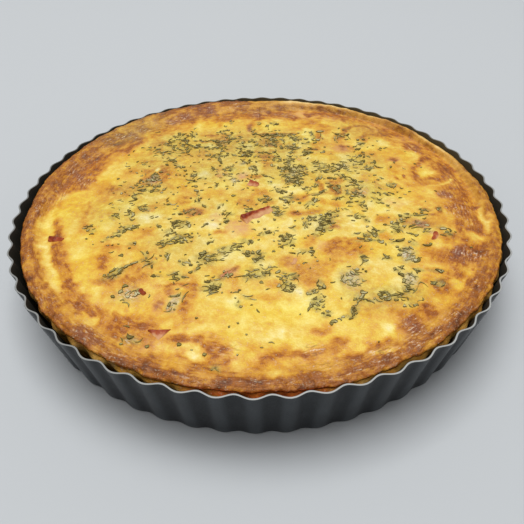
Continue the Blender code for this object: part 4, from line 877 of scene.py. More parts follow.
class Nodes:
    """A material's node tree, built by short calls."""

    def __init__(self, name):
        self.material = bpy.data.materials.new(name)
        self.material.use_nodes = True
        self.tree = self.material.node_tree
        self.shader = self.tree.nodes["Principled BSDF"]

    def put(self, node, key, value):
        """Links a socket to an input, or sets the input's value."""
        if isinstance(value, bpy.types.NodeSocket):
            self.tree.links.new(value, node.inputs[key])
        else:
            node.inputs[key].default_value = value

    def add(self, kind, output, inputs=(), **settings):
        """Adds a node and returns one of its outputs."""
        node = self.tree.nodes.new("ShaderNode" + kind)
        for key, value in settings.items():
            setattr(node, key, value)
        for key, value in dict(inputs).items():
            self.put(node, key, value)
        return node.outputs[output]

    def attribute(self, name):
        """A point attribute as a number."""
        return self.add("Attribute", "Fac", attribute_name=name)

    def noise(self, size, detail=2.0, roughness=0.5, place=None):
        """Noise from 0 to 1 with features of a size in metres."""
        if place is None:
            place = self.add("TexCoord", "Object")
        return self.add("TexNoise", "Fac", {"Vector": place, "Scale": 1.0 / size,
                                            "Detail": detail, "Roughness": roughness})

    def maths(self, operation, first, second, third=0.0):
        """A Math node."""
        return self.add("Math", 0, {0: first, 1: second, 2: third}, operation=operation)

    def plus(self, first, second):
        """Two numbers added."""
        return self.maths("ADD", first, second)

    def times(self, first, second):
        """Two numbers multiplied."""
        return self.maths("MULTIPLY", first, second)

    def stretch(self, value, low, high, to_low=0.0, to_high=1.0):
        """Maps low..high to to_low..to_high and clamps."""
        return self.add("MapRange", 0, {"Value": value, "From Min": low, "From Max": high,
                                        "To Min": to_low, "To Max": to_high})

    def spread(self, value, reach):
        """Noise of 0 to 1 as a number from -reach to reach."""
        return self.maths("MULTIPLY_ADD", value, 2.0 * reach, -reach)

    def mix(self, share, first, second, mode="MIX"):
        """Mixes two colours."""
        return self.add("Mix", 2, {0: share, 6: first, 7: second}, data_type="RGBA", blend_type=mode)

    def ramp(self, value, colour_stops):
        """A colour ramp with stops of (position, colour)."""
        node = self.tree.nodes.new("ShaderNodeValToRGB")
        elements = node.color_ramp.elements
        while len(elements) < len(colour_stops):
            elements.new(0.5)
        for element, (position, colour) in zip(elements, colour_stops):
            element.position = position
            element.color = colour
        self.put(node, "Fac", value)
        return node.outputs["Color"]

    def bump(self, height, strength, distance):
        """Puts a bump on the shader's normal."""
        normal = self.add("Bump", 0, {"Height": height, "Strength": strength, "Distance": distance})
        self.put(self.shader, "Normal", normal)

    def finish(self, **sockets):
        """Sets or links the shader's own sockets and returns the material."""
        for key, value in sockets.items():
            self.put(self.shader, key.replace("_", " "), value)
        return self.material


CUSTARD_COLOURS = tone_stops((252, 240, 188), (249, 228, 140), (239, 203, 88), (226, 167, 58),
                             (203, 132, 38), (170, 96, 26), (112, 57, 16))
PASTRY_COLOURS = tone_stops((250, 224, 168), (243, 208, 138), (230, 184, 98), (212, 156, 62),
                            (186, 130, 42), (152, 95, 28), (104, 58, 18))
DEEP_YELLOW = srgb(255, 251, 172)     # what the custard's colour is multiplied by
# Pale flecks: partly cream in the custard, partly painted highlights
CREAM_AND_HIGHLIGHT = srgb(252, 240, 204)
CARAMEL = srgb(190, 80, 26)
MEAT, MEAT_BROWNED = srgb(228, 168, 128), srgb(146, 88, 66)
STAIN_LIGHT, STAIN_DARK = srgb(196, 182, 98), srgb(132, 116, 54)
ASH_DARK, ASH_LIGHT = srgb(140, 130, 112), srgb(232, 226, 206)
# Painted highlight on the wrinkles where the skin glints, and painted shade in their pits
SHINE, PIT_SHADE = srgb(246, 222, 190), srgb(120, 62, 34)

COAT_COLOURS = stops((0.0, 22, 23, 25), (1.0, 42, 45, 48))
# Painted sheen on the flutes' crests
COAT_SHEEN = srgb(70, 76, 80)
# The inside's coat, painted lighter than the outside's as painted light, and the brown of its painted
# reflection of the food
COAT_INSIDE_PAINTED_LIGHT, COAT_PAINTED_REFLECTION = srgb(46, 48, 46), srgb(92, 84, 62)
# The rim's bare metal edge, which also carries the painted highlight
BARE_METAL = srgb(190, 192, 190)

HAM_COLOURS = stops((0.0, 228, 178, 122), (0.4, 210, 148, 104), (0.7, 176, 84, 46),
                    (1.0, 128, 44, 20))
BLADE_COLOURS = stops((0.0, 112, 96, 44), (0.35, 144, 130, 70), (0.65, 172, 160, 98),
                      (1.0, 206, 196, 150))
MARGIN_COLOURS = stops((0.0, 66, 50, 16), (0.8, 98, 80, 34), (1.0, 128, 112, 68))
FLOOR_COLOUR = srgb(197, 201, 204)

# Sizes of the baked top's textures
MOTTLE_SIZE = 0.0032
SPECK_SIZE = 0.0010
STREAK_SIZE = 0.0016
WRINKLE_SIZE = 0.0011
CLOUD_SIZE = 0.010
GLOSS_SIZE = 0.004
RIM_STRETCH = 0.28            # lengths along the rim shrink to this, so that streaks run along it
TEXTURE_LIMIT = 0.86          # texture alone doesn't darken the top beyond this share of the tones


def baked_material(name):
    """The baked top: custard and pastry by tone, mottled, streaked along the rim, with painted glints
    and painted shade in the wrinkles' pits, and pale flecks that are partly painted highlights.
    """
    nodes = Nodes(name)
    attribute, mix, times, stretch = nodes.attribute, nodes.mix, nodes.times, nodes.stretch
    mottle = nodes.noise(MOTTLE_SIZE, 3.0, 0.6)
    speck = nodes.noise(SPECK_SIZE, 2.0, 0.6)
    rim_place = nodes.add("CombineXYZ", 0, {0: times(attribute("along"), RIM_STRETCH),
                                            1: attribute("out")})
    streak = nodes.noise(STREAK_SIZE, 2.0, 0.6, rim_place)
    tone = attribute("tone")
    browned = stretch(tone, 0.50, 0.72)
    glint = attribute("glint")

    patchy = times(nodes.spread(mottle, 0.36), stretch(browned, 0.0, 1.0, 0.6, 1.0))
    shifted = nodes.plus(tone, patchy)
    shifted = nodes.plus(shifted, nodes.spread(speck, 0.15))
    shifted = nodes.maths("MULTIPLY_ADD", nodes.spread(streak, 0.36), browned, shifted)
    shifted = nodes.maths("MINIMUM", shifted, nodes.maths("MAXIMUM", tone, TEXTURE_LIMIT))

    custard = nodes.ramp(shifted, CUSTARD_COLOURS)
    cloud = stretch(nodes.noise(CLOUD_SIZE), 0.48, 0.60, 0.0, 0.55)
    deep = nodes.maths("MAXIMUM", times(attribute("deep"), 0.9), cloud)
    custard = mix(deep, custard, DEEP_YELLOW, "MULTIPLY")
    pastry = nodes.ramp(shifted, PASTRY_COLOURS)
    colour = mix(attribute("pastry"), custard, pastry)

    caramel = times(attribute("caramel"), stretch(mottle, 0.3, 0.6, 0.7, 1.0))
    colour = mix(caramel, colour, CARAMEL)
    pink = times(attribute("pink"), stretch(mottle, 0.35, 0.6, 0.4, 1.0))
    meat = mix(browned, MEAT, MEAT_BROWNED)
    colour = mix(pink, colour, meat)

    green = mix(stretch(mottle, 0.36, 0.62), STAIN_LIGHT, STAIN_DARK)
    stain = times(attribute("stain"), stretch(speck, 0.36, 0.60, 0.55, 1.0))
    ash = mix(stretch(speck, 0.40, 0.60), ASH_DARK, ASH_LIGHT)
    green = mix(attribute("pale"), green, ash)
    colour = mix(stain, colour, green)
    # Pale flecks over the top, partly cream and partly painted highlights
    flecks_and_highlights = times(stretch(speck, 0.56, 0.72), stretch(mottle, 0.5, 0.62, 0.05, 0.4))
    colour = mix(flecks_and_highlights, colour, CREAM_AND_HIGHLIGHT)

    # Painted highlights on the wrinkles' ridges where the skin glints, and painted shade in their pits
    wrinkle = nodes.noise(WRINKLE_SIZE, 3.0, 0.65, rim_place)
    sparkle = times(stretch(wrinkle, 0.54, 0.63), stretch(speck, 0.42, 0.58, 0.15, 1.0))
    colour = mix(times(sparkle, stretch(glint, 0.05, 0.8, 0.0, 0.75)), colour, SHINE)
    pit_shade = times(stretch(wrinkle, 0.50, 0.38), stretch(glint, 0.05, 0.8, 0.0, 0.6))
    colour = mix(pit_shade, colour, PIT_SHADE)

    gloss = stretch(nodes.noise(GLOSS_SIZE, 3.0), 0.35, 0.65, 0.36, 0.55)
    relief = nodes.plus(mottle, times(speck, 0.6))
    relief = nodes.maths("MULTIPLY_ADD", streak, browned, relief)
    nodes.bump(relief, stretch(browned, 0.0, 1.0, 0.45, 0.9), 0.0008)
    return nodes.finish(Base_Color=colour, Roughness=gloss, Specular_IOR_Level=0.35)


def tin_material():
    """Dark non-stick coating with painted sheen on the flutes' crests, painted light and a painted
    reflection on the inside, and a bare edge at the rim painted bright as a highlight.
    """
    nodes = Nodes("tin")
    speck = nodes.noise(0.0007, 2.0, 0.6)
    cloud = nodes.noise(0.012)
    # Painted sheen: lighter colour, and a little less roughness, on the outer flutes' crests
    sheen = nodes.times(nodes.attribute("crest"), nodes.stretch(cloud, 0.35, 0.65, 0.5, 1.0))
    coat = nodes.ramp(nodes.stretch(speck, 0.3, 0.7), COAT_COLOURS)
    coat = nodes.mix(nodes.times(sheen, 0.45), coat, COAT_SHEEN)
    # The inside: painted light, and a painted brown reflection of the food
    painted_reflection = nodes.mix(nodes.attribute("painted_reflection"), COAT_INSIDE_PAINTED_LIGHT, COAT_PAINTED_REFLECTION)
    coat = nodes.mix(nodes.attribute("inside"), coat, painted_reflection)
    colour = nodes.mix(nodes.attribute("bare_and_highlight"), coat, BARE_METAL)
    rough = nodes.maths("MULTIPLY_ADD", sheen, -0.12, nodes.stretch(cloud, 0.3, 0.7, 0.44, 0.54))
    nodes.bump(speck, 0.2, 0.0002)
    return nodes.finish(Base_Color=colour, Roughness=rough, Specular_IOR_Level=0.25)


def ham_material():
    """Cooked ham: pink meat, dark red where it is browned."""
    nodes = Nodes("ham")
    cloud = nodes.noise(0.0022, 3.0)
    shade = nodes.plus(nodes.attribute("seared"), nodes.spread(cloud, 0.35))
    colour = nodes.ramp(shade, HAM_COLOURS)
    nodes.bump(cloud, 0.5, 0.0004)
    rough = nodes.stretch(cloud, 0.3, 0.7, 0.34, 0.5)
    return nodes.finish(Base_Color=colour, Roughness=rough, Specular_IOR_Level=0.15)


def herb_material():
    """Dried herb leaves: dark curled edges round paler, greyer blades."""
    nodes = Nodes("herbs")
    vein = nodes.noise(0.0009)
    shade = nodes.plus(nodes.attribute("shade"), nodes.spread(vein, 0.2))
    blade = nodes.ramp(shade, BLADE_COLOURS)
    margin = nodes.ramp(shade, MARGIN_COLOURS)
    edge = nodes.plus(nodes.attribute("margin"), nodes.spread(vein, 0.25))
    colour = nodes.mix(nodes.stretch(edge, 0.50, 0.92), blade, margin)
    nodes.bump(vein, 0.5, 0.0003)
    return nodes.finish(Base_Color=colour, Roughness=0.7, Specular_IOR_Level=0.2)


# ---------------------------------------------------------------------------
# Pieces
# ---------------------------------------------------------------------------
TIN_STEPS = FLUTES * 16
WALL_ROWS = 12
RIM_ROUNDING = 0.00008        # the edge of the sheet is this much lower at its corners
# The bare rows at the rim also carry its painted highlight
BARE_EDGE = 0.00025           # how far down the rim its coating is worn off
COATED = 1.4                  # at this many times that depth the coating is whole
BEND_MIDDLE = (0.15, 0.28)    # the foot's bend: how far in and up its middle is, against its size
FLUTES_START = 0.9            # the flutes run out on the floor at this share of its radius
FLOOR_RING = 0.6              # the floor has a ring of points at this share of the foot's radius
HUB = 0.004                   # radius of the small disc that closes the tin's floor


def tin_points(profile):
    """Points of a profile of (radius, height), turned about +Z with the flutes pressed in."""
    angle = np.arange(TIN_STEPS) * math.tau / TIN_STEPS
    radius, height = np.array(profile).T[:, :, None] + np.zeros(TIN_STEPS)
    depth = BASE_FLUTE + (RIM_FLUTE - BASE_FLUTE) * height / TIN_HEIGHT
    edge = TIN_BASE_RADIUS - BASE_FLUTE / 2.0 - 2.0 * TIN_FOOT_BEND
    moved = radius + 0.5 * depth * flute(angle) * soft_step(FLUTES_START * edge, edge, radius)
    return np.stack([moved * np.cos(angle), moved * np.sin(angle), height], axis=-1)


def line(start, end, points):
    """Points along a straight stretch of a profile, without its first point."""
    shares = np.linspace(0.0, 1.0, points + 1)[1:]
    return [(start[0] + (end[0] - start[0]) * share, start[1] + (end[1] - start[1]) * share)
            for share in shares]


def tin_profile():
    """The tin's outer side from the rim to the middle, then its inner side, then its edge."""
    rim = TIN_RADIUS - RIM_FLUTE / 2.0
    foot = TIN_BASE_RADIUS - BASE_FLUTE / 2.0
    lean = math.atan2(rim - foot, TIN_HEIGHT)
    thick = TIN_SHEET * math.cos(lean)
    drop = BARE_EDGE * math.tan(lean)
    corner = TIN_HEIGHT - RIM_ROUNDING
    bend_top = foot + TIN_FOOT_BEND * math.tan(lean)
    floor = foot - TIN_FOOT_BEND
    outer = [(rim, corner), (rim - drop, TIN_HEIGHT - BARE_EDGE),
             (rim - COATED * drop, TIN_HEIGHT - COATED * BARE_EDGE)]
    outer += line(outer[-1], (bend_top, TIN_FOOT_BEND), WALL_ROWS)
    outer += [(foot - BEND_MIDDLE[0] * TIN_FOOT_BEND, BEND_MIDDLE[1] * TIN_FOOT_BEND), (floor, 0.0),
              (FLOOR_RING * foot, 0.0), (HUB, 0.0)]
    inner = [(HUB, TIN_SHEET), (FLOOR_RING * foot, TIN_SHEET), (floor, TIN_SHEET),
             (bend_top - thick, TIN_FOOT_BEND + thick)]
    inner += line(inner[-1], (rim - thick - drop, TIN_HEIGHT - BARE_EDGE), WALL_ROWS)
    inner += [(rim - thick, corner)]
    edge = [(rim - 0.8 * thick, TIN_HEIGHT), (rim - 0.2 * thick, TIN_HEIGHT)]
    return outer, inner, edge


def make_tin(finish):
    """The fluted tin, with a bare rim edge painted bright as a highlight, painted sheen on its crests,
    and painted light and a painted reflection on its inside.
    """
    outer, inner, edge = tin_profile()
    points = tin_points(outer + inner + edge)
    rows = len(points)
    here = np.arange(TIN_STEPS)
    after = (here + 1) % TIN_STEPS
    last = (rows - 1) * TIN_STEPS
    faces = grid_faces(rows, TIN_STEPS, True).tolist()
    faces += np.stack([last + here, here, after, last + after], axis=-1).tolist()
    turned = here * math.tau / TIN_STEPS
    bare_and_highlight = np.zeros((rows, TIN_STEPS))
    # The rim rows: bare metal edge and painted highlight, by angle
    bare_and_highlight[[0, -3, -2, -1]] = around(RIM_BARE_AND_HIGHLIGHT, turned)
    inside = np.zeros((rows, TIN_STEPS))
    inside[len(outer):] = 1.0
    # Where the outer side gets its painted sheen: on the flutes' crests, fading into the creases
    crest = (1.0 - inside) * soft_step(-0.4, 1.0, flute(turned))
    # Painted reflection of the food on the inside, by angle
    painted_reflection = around(INSIDE_REFLECTION, turned) + 0.0 * inside
    return mesh_object("tin_fluted", points, faces, finish,
                       {"bare_and_highlight": bare_and_highlight, "inside": inside, "crest": crest, "painted_reflection": painted_reflection})


CASE_STEPS = FLUTES * 26
LIP_ROWS = 18
SIDE_ROWS = 14
CARAMEL_ROWS = 5              # rows under the lip that juice has caramelised
CAP_TONE = 3.0                # tone of the hidden floor and inner wall
SIDE_PASTRY = 0.8             # how much the side looks like bare pastry, at the least
SEAM_LAP = 0.0006             # custard and lip reach this far past their seam, one under the other
SEAM_DIP = 0.0004             # how far the one underneath dips
# Rows that round the lip's edge off: how far out from it and down from it
EDGE_ROUNDING = ((0.0003, 0.0005), (0.0004, 0.0009), (0.0005, 0.0013))
EDGE_TONES = (3.4, 2.8)       # of the last two of them
EDGE_TONE_DROP = 0.1          # how much paler than the lip's edge the first of them is
SHOULDER_SHARES = (0.3, 0.65, 1.0)        # rows from there to the shoulder
SHOULDER_TONE_DROP = 0.5
SIDE_TONE, SIDE_TONE_GAIN = 3.3, 0.3      # at the shoulder, and how much browner down at the foot
UNDERSIDE_TONE = 3.4
SEAM_INSET = 0.0001           # the custard's dip starts this far past the seam


def case_side(angle, edge, edge_height, edge_tone):
    """Rows of (radius, height, tone) from the lip's edge down the fluted side to the underside."""
    side = lip_form(angle)[4]
    turn = 0.5 * CASE_FLUTE * flute(angle)
    tones = [edge_tone - EDGE_TONE_DROP] + [even(tone, angle) for tone in EDGE_TONES]
    rows = [(edge + out, edge_height - down, tone)
            for (out, down), tone in zip(EDGE_ROUNDING, tones)]
    last_radius, last_height, last_tone = rows[-1]
    for share in SHOULDER_SHARES:
        rows.append((last_radius + share * (side + turn - last_radius),
                     last_height + share * (CASE_SHOULDER - last_height),
                     last_tone - SHOULDER_TONE_DROP * share))
    low = CASE_BOTTOM + CASE_BASE_BEND
    for step in range(1, SIDE_ROWS + 1):
        share = step / SIDE_ROWS
        rows.append((side + (CASE_BASE_RADIUS - side) * share + turn,
                     even(CASE_SHOULDER + (low - CASE_SHOULDER) * share, angle),
                     even(SIDE_TONE + SIDE_TONE_GAIN * share, angle)))
    rows.append((CASE_BASE_RADIUS - CASE_BASE_BEND + turn, even(CASE_BOTTOM, angle),
                 even(UNDERSIDE_TONE, angle)))
    return rows


def make_crust(finish):
    """The pastry case with its uneven, browned lip and its fluted side."""
    angle = np.arange(CASE_STEPS) * math.tau / CASE_STEPS
    angle = np.where(angle > math.pi, angle - math.tau, angle)
    run = angle * CASE_RADIUS
    seam = join_radius(angle) - SEAM_LAP
    level = even(0.0, run)
    rough = uneven(layered, run, level, EDGE_WAVES) + uneven(turned_noise, run, level, EDGE_TEETH)
    edge = lip_form(angle)[3] + 0.5 * CASE_LIP_FLUTE * flute(angle) + rough
    rows = []
    tones = []
    for height in (CASE_BOTTOM + CASE_FLOOR, CASE_INNER_TOP):
        rows.append((*food_place(inner_radius(height, angle), angle), even(height, angle)))
        tones.append(even(CAP_TONE, angle))
    for share in np.linspace(0.0, 1.0, LIP_ROWS):
        radius = seam + share * (edge - seam)
        x, y = food_place(radius, angle)
        tone = bake_tone(x, y)
        sunk = SEAM_DIP * (1.0 - soft_step(0.0, SEAM_LAP, radius - seam))
        rows.append((x, y, top_height(x, y, tone) - sunk))
        tones.append(tone)
    below = len(rows)
    for radius, height, tone in case_side(angle, edge, rows[-1][2], tones[-1]):
        crumbs = uneven(turned_noise, run, height, SIDE_CRUMBS)
        rows.append((*food_place(radius + crumbs, angle), height))
        tones.append(tone + uneven(layered, run, height, SIDE_BLOTCHES))
    points = np.stack([np.stack(row, axis=-1) for row in rows])
    tone = np.clip(np.stack(tones), 0.0, TONES)
    faces = grid_faces(len(rows), CASE_STEPS, True).tolist()
    faces.append(list(range(CASE_STEPS)))
    end = len(rows) * CASE_STEPS
    faces.append(list(range(end - 1, end - CASE_STEPS - 1, -1)))
    attributes = top_attributes(points[..., 0], points[..., 1], tone)
    attributes["pastry"][below:] = np.maximum(attributes["pastry"][below:], SIDE_PASTRY)
    attributes["caramel"] = np.zeros(tone.shape)
    attributes["caramel"][below:below + CARAMEL_ROWS] = around(UNDER_LIP, angle)
    return mesh_object("crust_baked", points, faces, finish, attributes)


CUSTARD_CELLS = 300
BODY_GAP = 0.0003             # between the custard's hidden body and the case


def make_custard(finish):
    """The custard: a fine skin over a plain body."""
    u, v = disc_grid(CUSTARD_CELLS)
    angle = np.arctan2(v, u)
    seam = join_radius(angle)
    radius = np.hypot(u, v) * (seam + SEAM_LAP)
    x, y = food_place(radius, angle)
    tone = bake_tone(x, y)
    dip = SEAM_DIP * soft_step(seam + SEAM_INSET, seam + SEAM_LAP, radius)
    z = top_height(x, y, tone) - dip
    top = np.stack([x, y, z], axis=-1).reshape(-1, 3)
    loop = edge_loop(CUSTARD_CELLS + 1, CUSTARD_CELLS + 1)
    turn = about_middle(top[loop, 0], top[loop, 1])[1]
    base = food_place(inner_radius(FILLING_BOTTOM, turn) - BODY_GAP, turn)
    vertices = np.concatenate([top, np.stack([*base, even(FILLING_BOTTOM, turn)], axis=-1)])
    faces = grid_faces(CUSTARD_CELLS + 1, CUSTARD_CELLS + 1, False)[:, ::-1].tolist()
    under = len(top) + np.arange(len(loop))
    wall = np.stack([loop, under, np.roll(under, -1), np.roll(loop, -1)], axis=-1)
    faces += wall.tolist()
    faces.append(under[::-1].tolist())
    all_tones = np.concatenate([tone.ravel(), tone.ravel()[loop]])
    attributes = top_attributes(vertices[:, 0], vertices[:, 1], all_tones)
    return mesh_object("custard", vertices, faces, finish, attributes)


LEAF_RINGS = 5
LEAF_COLUMNS = 3
NEEDLES = 0.50                # share of the flakes that are thin as needles
FLAKE_SPILL = 0.26            # how far flakes stray out of their drift, against its half size
LINED_SPREAD = 0.35           # how far flakes turn out of the line they lie in, in radians
LOOSE_SPREAD = 0.75           # the same for flakes that lie in no line
LOOSE_TURN = 0.1              # the way those lie on the whole
SIZE_GAIN = 0.35              # size of a drift's flakes for each millimetre of its half length
SMALLEST_SIZE = 0.5
THIN_SCATTER_SIZE = 0.7       # size of the flakes of the thin scatter
LENGTH_LAW = (3.0, 0.00055)   # shape and scale of the lengths over the least one
NEEDLE_LENGTH, LEAF_LENGTH = 0.0018, 0.0010           # the least lengths
NEEDLE_WIDTHS, LEAF_WIDTHS = (0.0004, 0.0007), (0.0009, 0.0018)
WIDTH_LIMIT = 0.7             # of the length
THICKNESSES = (0.00010, 0.00020)
LIFTS = (0.0, 0.0003)         # how far flakes stand off the skin
SUNK = 0.0001                 # how deep a flake's edge may dip into it
CURL, CAMBER, LEAN = 0.8, 0.5, 0.14       # how much flakes bend sideways and up, and how they lean
CUPS = (-0.35, 0.5)           # how deeply they are cupped
CAMBER_SHARE, CUP_SHARE = 0.30, 0.35      # how far camber and cup lift them
RAGGED = 0.25                 # how uneven a flake's width is along it
RAGGED_LIMITS = (0.4, 1.5)
BLUNT = 1.04                  # over 1, the ends of a flake are blunt
SHADE_LAW = (1.6, 1.7)        # of the beta law that shades the flakes
PALE_SHADE = 0.35             # how much paler flakes are in a bleached drift
HERB_SEED = 5


def flake_size(length, width, density):
    """How large a drift's flakes are against full size: smaller in a small drift."""
    if density <= THIN_DRIFT:
        return THIN_SCATTER_SIZE
    return min(max(SIZE_GAIN * max(length, width), SMALLEST_SIZE), 1.0)


def herb_places(rng):
    """Places of the flakes, the way each lies and their sizes, drift by drift."""
    places = []
    turns = []
    sizes = []
    for drift in DRIFTS:
        x, y, length, width, density = drift[:5]
        angle = patch_turn(drift)
        flakes = max(int(round(density * FLAKES_PER_AREA * math.pi * length * width)), 1)
        reach = np.sqrt(rng.uniform(0.0, 1.0, flakes)) + rng.exponential(FLAKE_SPILL, flakes)
        around_drift = rng.uniform(0.0, math.tau, flakes)
        along = reach * np.cos(around_drift) * length
        across = reach * np.sin(around_drift) * width
        places.append(np.stack([x + along * math.cos(angle) - across * math.sin(angle),
                                y + along * math.sin(angle) + across * math.cos(angle)], axis=-1))
        if max(length, width) > LINE_OF_FLAKES * min(length, width):
            lie = angle + (math.pi / 2.0 if width > length else 0.0)
            turns.append(rng.normal(lie, LINED_SPREAD, flakes))
        else:
            turns.append(rng.normal(LOOSE_TURN, LOOSE_SPREAD, flakes))
        sizes.append(np.full(flakes, flake_size(length, width, density)))
    place = np.concatenate(places) * MM
    inside = np.hypot(place[:, 0], place[:, 1]) < FILLING_RADIUS
    return place[inside], np.concatenate(turns)[inside], np.concatenate(sizes)[inside]


def leaf_faces():
    """Faces of one flake: its upper side, its lower side, and the wall between them."""
    upper = grid_faces(LEAF_RINGS, LEAF_COLUMNS, False)
    rim = edge_loop(LEAF_RINGS, LEAF_COLUMNS)
    rim_next = np.roll(rim, -1)
    size = LEAF_RINGS * LEAF_COLUMNS
    wall = np.stack([rim, rim_next, rim_next + size, rim + size], axis=-1)
    return np.concatenate([upper, upper[:, ::-1] + size, wall])


def make_herbs(finish):
    """Dried herb flakes lying in drifts on the custard, as one mesh."""
    rng = np.random.default_rng(HERB_SEED)
    place, turn, size_share = herb_places(rng)
    count = len(place)
    needle = rng.uniform(0.0, 1.0, count) < NEEDLES
    length = rng.gamma(*LENGTH_LAW, count) + np.where(needle, NEEDLE_LENGTH, LEAF_LENGTH)
    length = size_share * length
    width = np.where(needle, rng.uniform(*NEEDLE_WIDTHS, count), rng.uniform(*LEAF_WIDTHS, count))
    width = np.minimum(width, WIDTH_LIMIT * length)
    thick = rng.uniform(*THICKNESSES, count)
    curl = rng.normal(0.0, CURL, count)
    camber = rng.normal(0.0, CAMBER, count)
    lean = rng.normal(0.0, LEAN, count)
    cup = rng.uniform(*CUPS, count)
    lift = rng.uniform(*LIFTS, count)
    ragged = 1.0 + RAGGED * rng.normal(0.0, 1.0, (count, LEAF_RINGS, 1))
    shade = rng.beta(*SHADE_LAW, count) + PALE_SHADE * strongest(*place.T / MM, PALES)

    # From here on, arrays run over flakes, rings along a flake and columns across it
    length, width, thick, curl, camber, lean, cup, lift, turn, middle_x, middle_y = (
        values[:, None, None]
        for values in (length, width, thick, curl, camber, lean, cup, lift, turn, *place.T))
    along = np.linspace(-1.0, 1.0, LEAF_RINGS)[None, :, None]
    across = np.linspace(-1.0, 1.0, LEAF_COLUMNS)[None, None, :]
    taper = np.sqrt(np.clip(BLUNT - along ** 2, 0.0, 1.0)) * np.clip(ragged, *RAGGED_LIMITS)
    lx = along * length / 2.0 + 0.0 * across
    ly = across * taper * width / 2.0 + curl * lx ** 2 / length
    cupped = cup * across ** 2 * width * CUP_SHARE
    lz = cupped + CAMBER_SHARE * camber * lx ** 2 / length + lean * ly
    x = middle_x + lx * np.cos(turn) - ly * np.sin(turn)
    y = middle_y + lx * np.sin(turn) + ly * np.cos(turn)
    z = top_height(x, y, bake_tone(x, y)) + lift + np.maximum(lz, -SUNK)
    size = LEAF_RINGS * LEAF_COLUMNS
    vertices = np.concatenate([np.stack([x, y, z + thick], axis=-1).reshape(count, size, 3),
                               np.stack([x, y, z], axis=-1).reshape(count, size, 3)], axis=1)
    faces = leaf_faces()[None] + (np.arange(count) * 2 * size)[:, None, None]
    margin = np.maximum(np.abs(across) ** 1.5, np.abs(along) ** 4)
    attributes = {"shade": np.repeat(shade, 2 * size),
                  "margin": np.tile(margin.ravel(), 2 * count)}
    return mesh_object("herb_flakes", vertices, faces.reshape(-1, 4).tolist(), finish, attributes)


# How seared each cut of ham is: low down, and along its high edge
SEARED = {"ham_centre": (0.25, 0.98), "ham_back": (0.45, 0.70), "ham_near": (0.05, 0.20),
          "ham_mid": (0.15, 0.40), "ham_front": (0.20, 0.80), "ham_left": (0.50, 0.90),
          "ham_right": (0.45, 0.75), "ham_low": (0.55, 0.80)}
SEARED_RISE = (0.72, 0.95)    # the searing sets in over this stretch of a cut's height
SEARED_BLOTCHES = (0.2, 0.004)                        # swing and size
HAM_CELL = 0.0004             # size of the finer mesh's cells
HAM_RELIEF = ((0.00035, 0.0018), (0.00035, 0.0018), (0.00030, 0.0016))    # the same, in x, y, z
HAM_SEED = 60


def finer_mesh(node):
    """The mesh of a CAD node made again in small even cells."""
    copy = show(node + "_cut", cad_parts[node].data.copy())
    remesh = copy.modifiers.new("remesh", "REMESH")
    remesh.mode = "VOXEL"
    remesh.voxel_size = HAM_CELL
    graph = bpy.context.evaluated_depsgraph_get()
    mesh = bpy.data.meshes.new_from_object(copy.evaluated_get(graph))
    copy.modifiers.clear()
    copy.data = mesh
    return copy


def make_ham(node, finish):
    """A cut of ham made from its CAD solid: finer, uneven, and seared along its high edge."""
    cut = finer_mesh(node)
    mesh = cut.data
    mesh.materials.clear()
    mesh.materials.append(finish)
    points = np.empty(len(mesh.vertices) * 3)
    mesh.vertices.foreach_get("co", points)
    points = points.reshape(-1, 3)
    seed = HAM_SEED + len(node)
    for axis, (swing, size) in enumerate(HAM_RELIEF):
        across = [points[:, other] for other in range(3) if other != axis]
        points[:, axis] += swing * turned_noise(*across, size, seed + axis)
    mesh.vertices.foreach_set("co", points.ravel())
    low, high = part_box(node)
    rise = (points[:, 2] - low.z) / (high.z - low.z)
    mild, strong = SEARED[node]
    swing, size = SEARED_BLOTCHES
    seared = mild + (strong - mild) * soft_step(*SEARED_RISE, rise)
    seared = seared + swing * turned_noise(points[:, 0], points[:, 1], size, seed)
    add_attributes(mesh, {"seared": np.clip(seared, 0.0, 1.0)})
    mesh.shade_smooth()
    mesh.update()
    return cut


# ---------------------------------------------------------------------------
# Stage
# ---------------------------------------------------------------------------
FLOOR_SIZE = 12.0
DOME_STRENGTH = 0.29
KEY_PLACE, KEY_SIZE, KEY_POWER = (-0.2, 0.4, 3.35), 2.4, 97.0
FILL_PLACE, FILL_SIZE, FILL_POWER = (-1.2, -3.0, 1.2), 2.0, 10.0

CAMERA_SIDE = 0.0008
CAMERA_DISTANCE = 0.3333
CAMERA_RISE = math.radians(39.22)
CAMERA_PITCH = math.radians(41.02)
CAMERA_YAW = math.radians(-0.07)
CAMERA_ROLL = math.radians(-0.91)
CAMERA_LENS = 36.03
SENSOR_WIDTH = 36.0


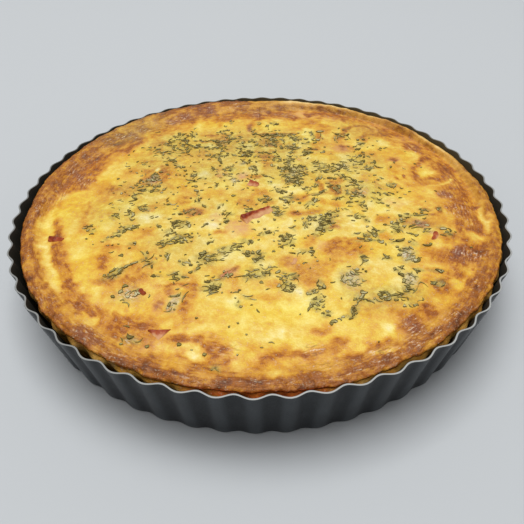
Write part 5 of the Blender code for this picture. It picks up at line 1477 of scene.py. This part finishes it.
def make_floor():
    """A plain pale floor."""
    bpy.ops.mesh.primitive_plane_add(size=FLOOR_SIZE, location=(0.0, 0.0, TIN_LOW.z))
    floor = bpy.context.active_object
    floor.name = "floor"
    floor.data.materials.append(Nodes("floor").finish(Base_Color=FLOOR_COLOUR, Roughness=0.9))


def make_light(name, place, size, power):
    """A soft square light that looks at the quiche."""
    data = bpy.data.lights.new(name, "AREA")
    data.size = size
    data.energy = power
    light = show(name, data)
    light.location = place
    light.rotation_mode = "QUATERNION"
    light.rotation_quaternion = (Vector(place) - MIDDLE).to_track_quat("Z", "Y")


def make_camera():
    """The camera in front of the quiche, looking down on it."""
    data = bpy.data.cameras.new("camera")
    data.lens = CAMERA_LENS
    data.sensor_width = SENSOR_WIDTH
    data.clip_start = 0.01
    camera = show("camera", data)
    camera.location = (CAMERA_SIDE, -CAMERA_DISTANCE * math.cos(CAMERA_RISE),
                       CAMERA_DISTANCE * math.sin(CAMERA_RISE))
    aim = Euler((math.pi / 2.0 - CAMERA_PITCH, 0.0, CAMERA_YAW)).to_quaternion()
    camera.rotation_mode = "QUATERNION"
    camera.rotation_quaternion = aim @ Quaternion((0.0, 0.0, 1.0), CAMERA_ROLL)
    bpy.context.scene.camera = camera


def make_stage():
    """Floor, soft light and camera."""
    make_floor()
    world = bpy.data.worlds.new("studio")
    world.use_nodes = True
    background = world.node_tree.nodes["Background"]
    background.inputs["Color"].default_value = (1.0, 1.0, 1.0, 1.0)
    background.inputs["Strength"].default_value = DOME_STRENGTH
    bpy.context.scene.world = world
    bpy.context.scene.view_settings.view_transform = "Standard"
    make_light("key", KEY_PLACE, KEY_SIZE, KEY_POWER)
    make_light("fill", FILL_PLACE, FILL_SIZE, FILL_POWER)
    make_camera()


def main():
    """Builds the stage and the pieces, each in place of its CAD node."""
    make_stage()
    tin = make_tin(tin_material())
    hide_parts("tin")
    crust = make_crust(baked_material("pastry"))
    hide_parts("crust")
    custard = make_custard(baked_material("custard"))
    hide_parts("filling")
    herbs = make_herbs(herb_material())
    pieces = [tin, crust, custard, herbs]
    ham_finish = ham_material()
    for node in sorted(SEARED):
        cut = make_ham(node, ham_finish)
        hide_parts(node)
        pieces.append(cut)
    for piece in pieces:
        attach(piece, "root")


main()
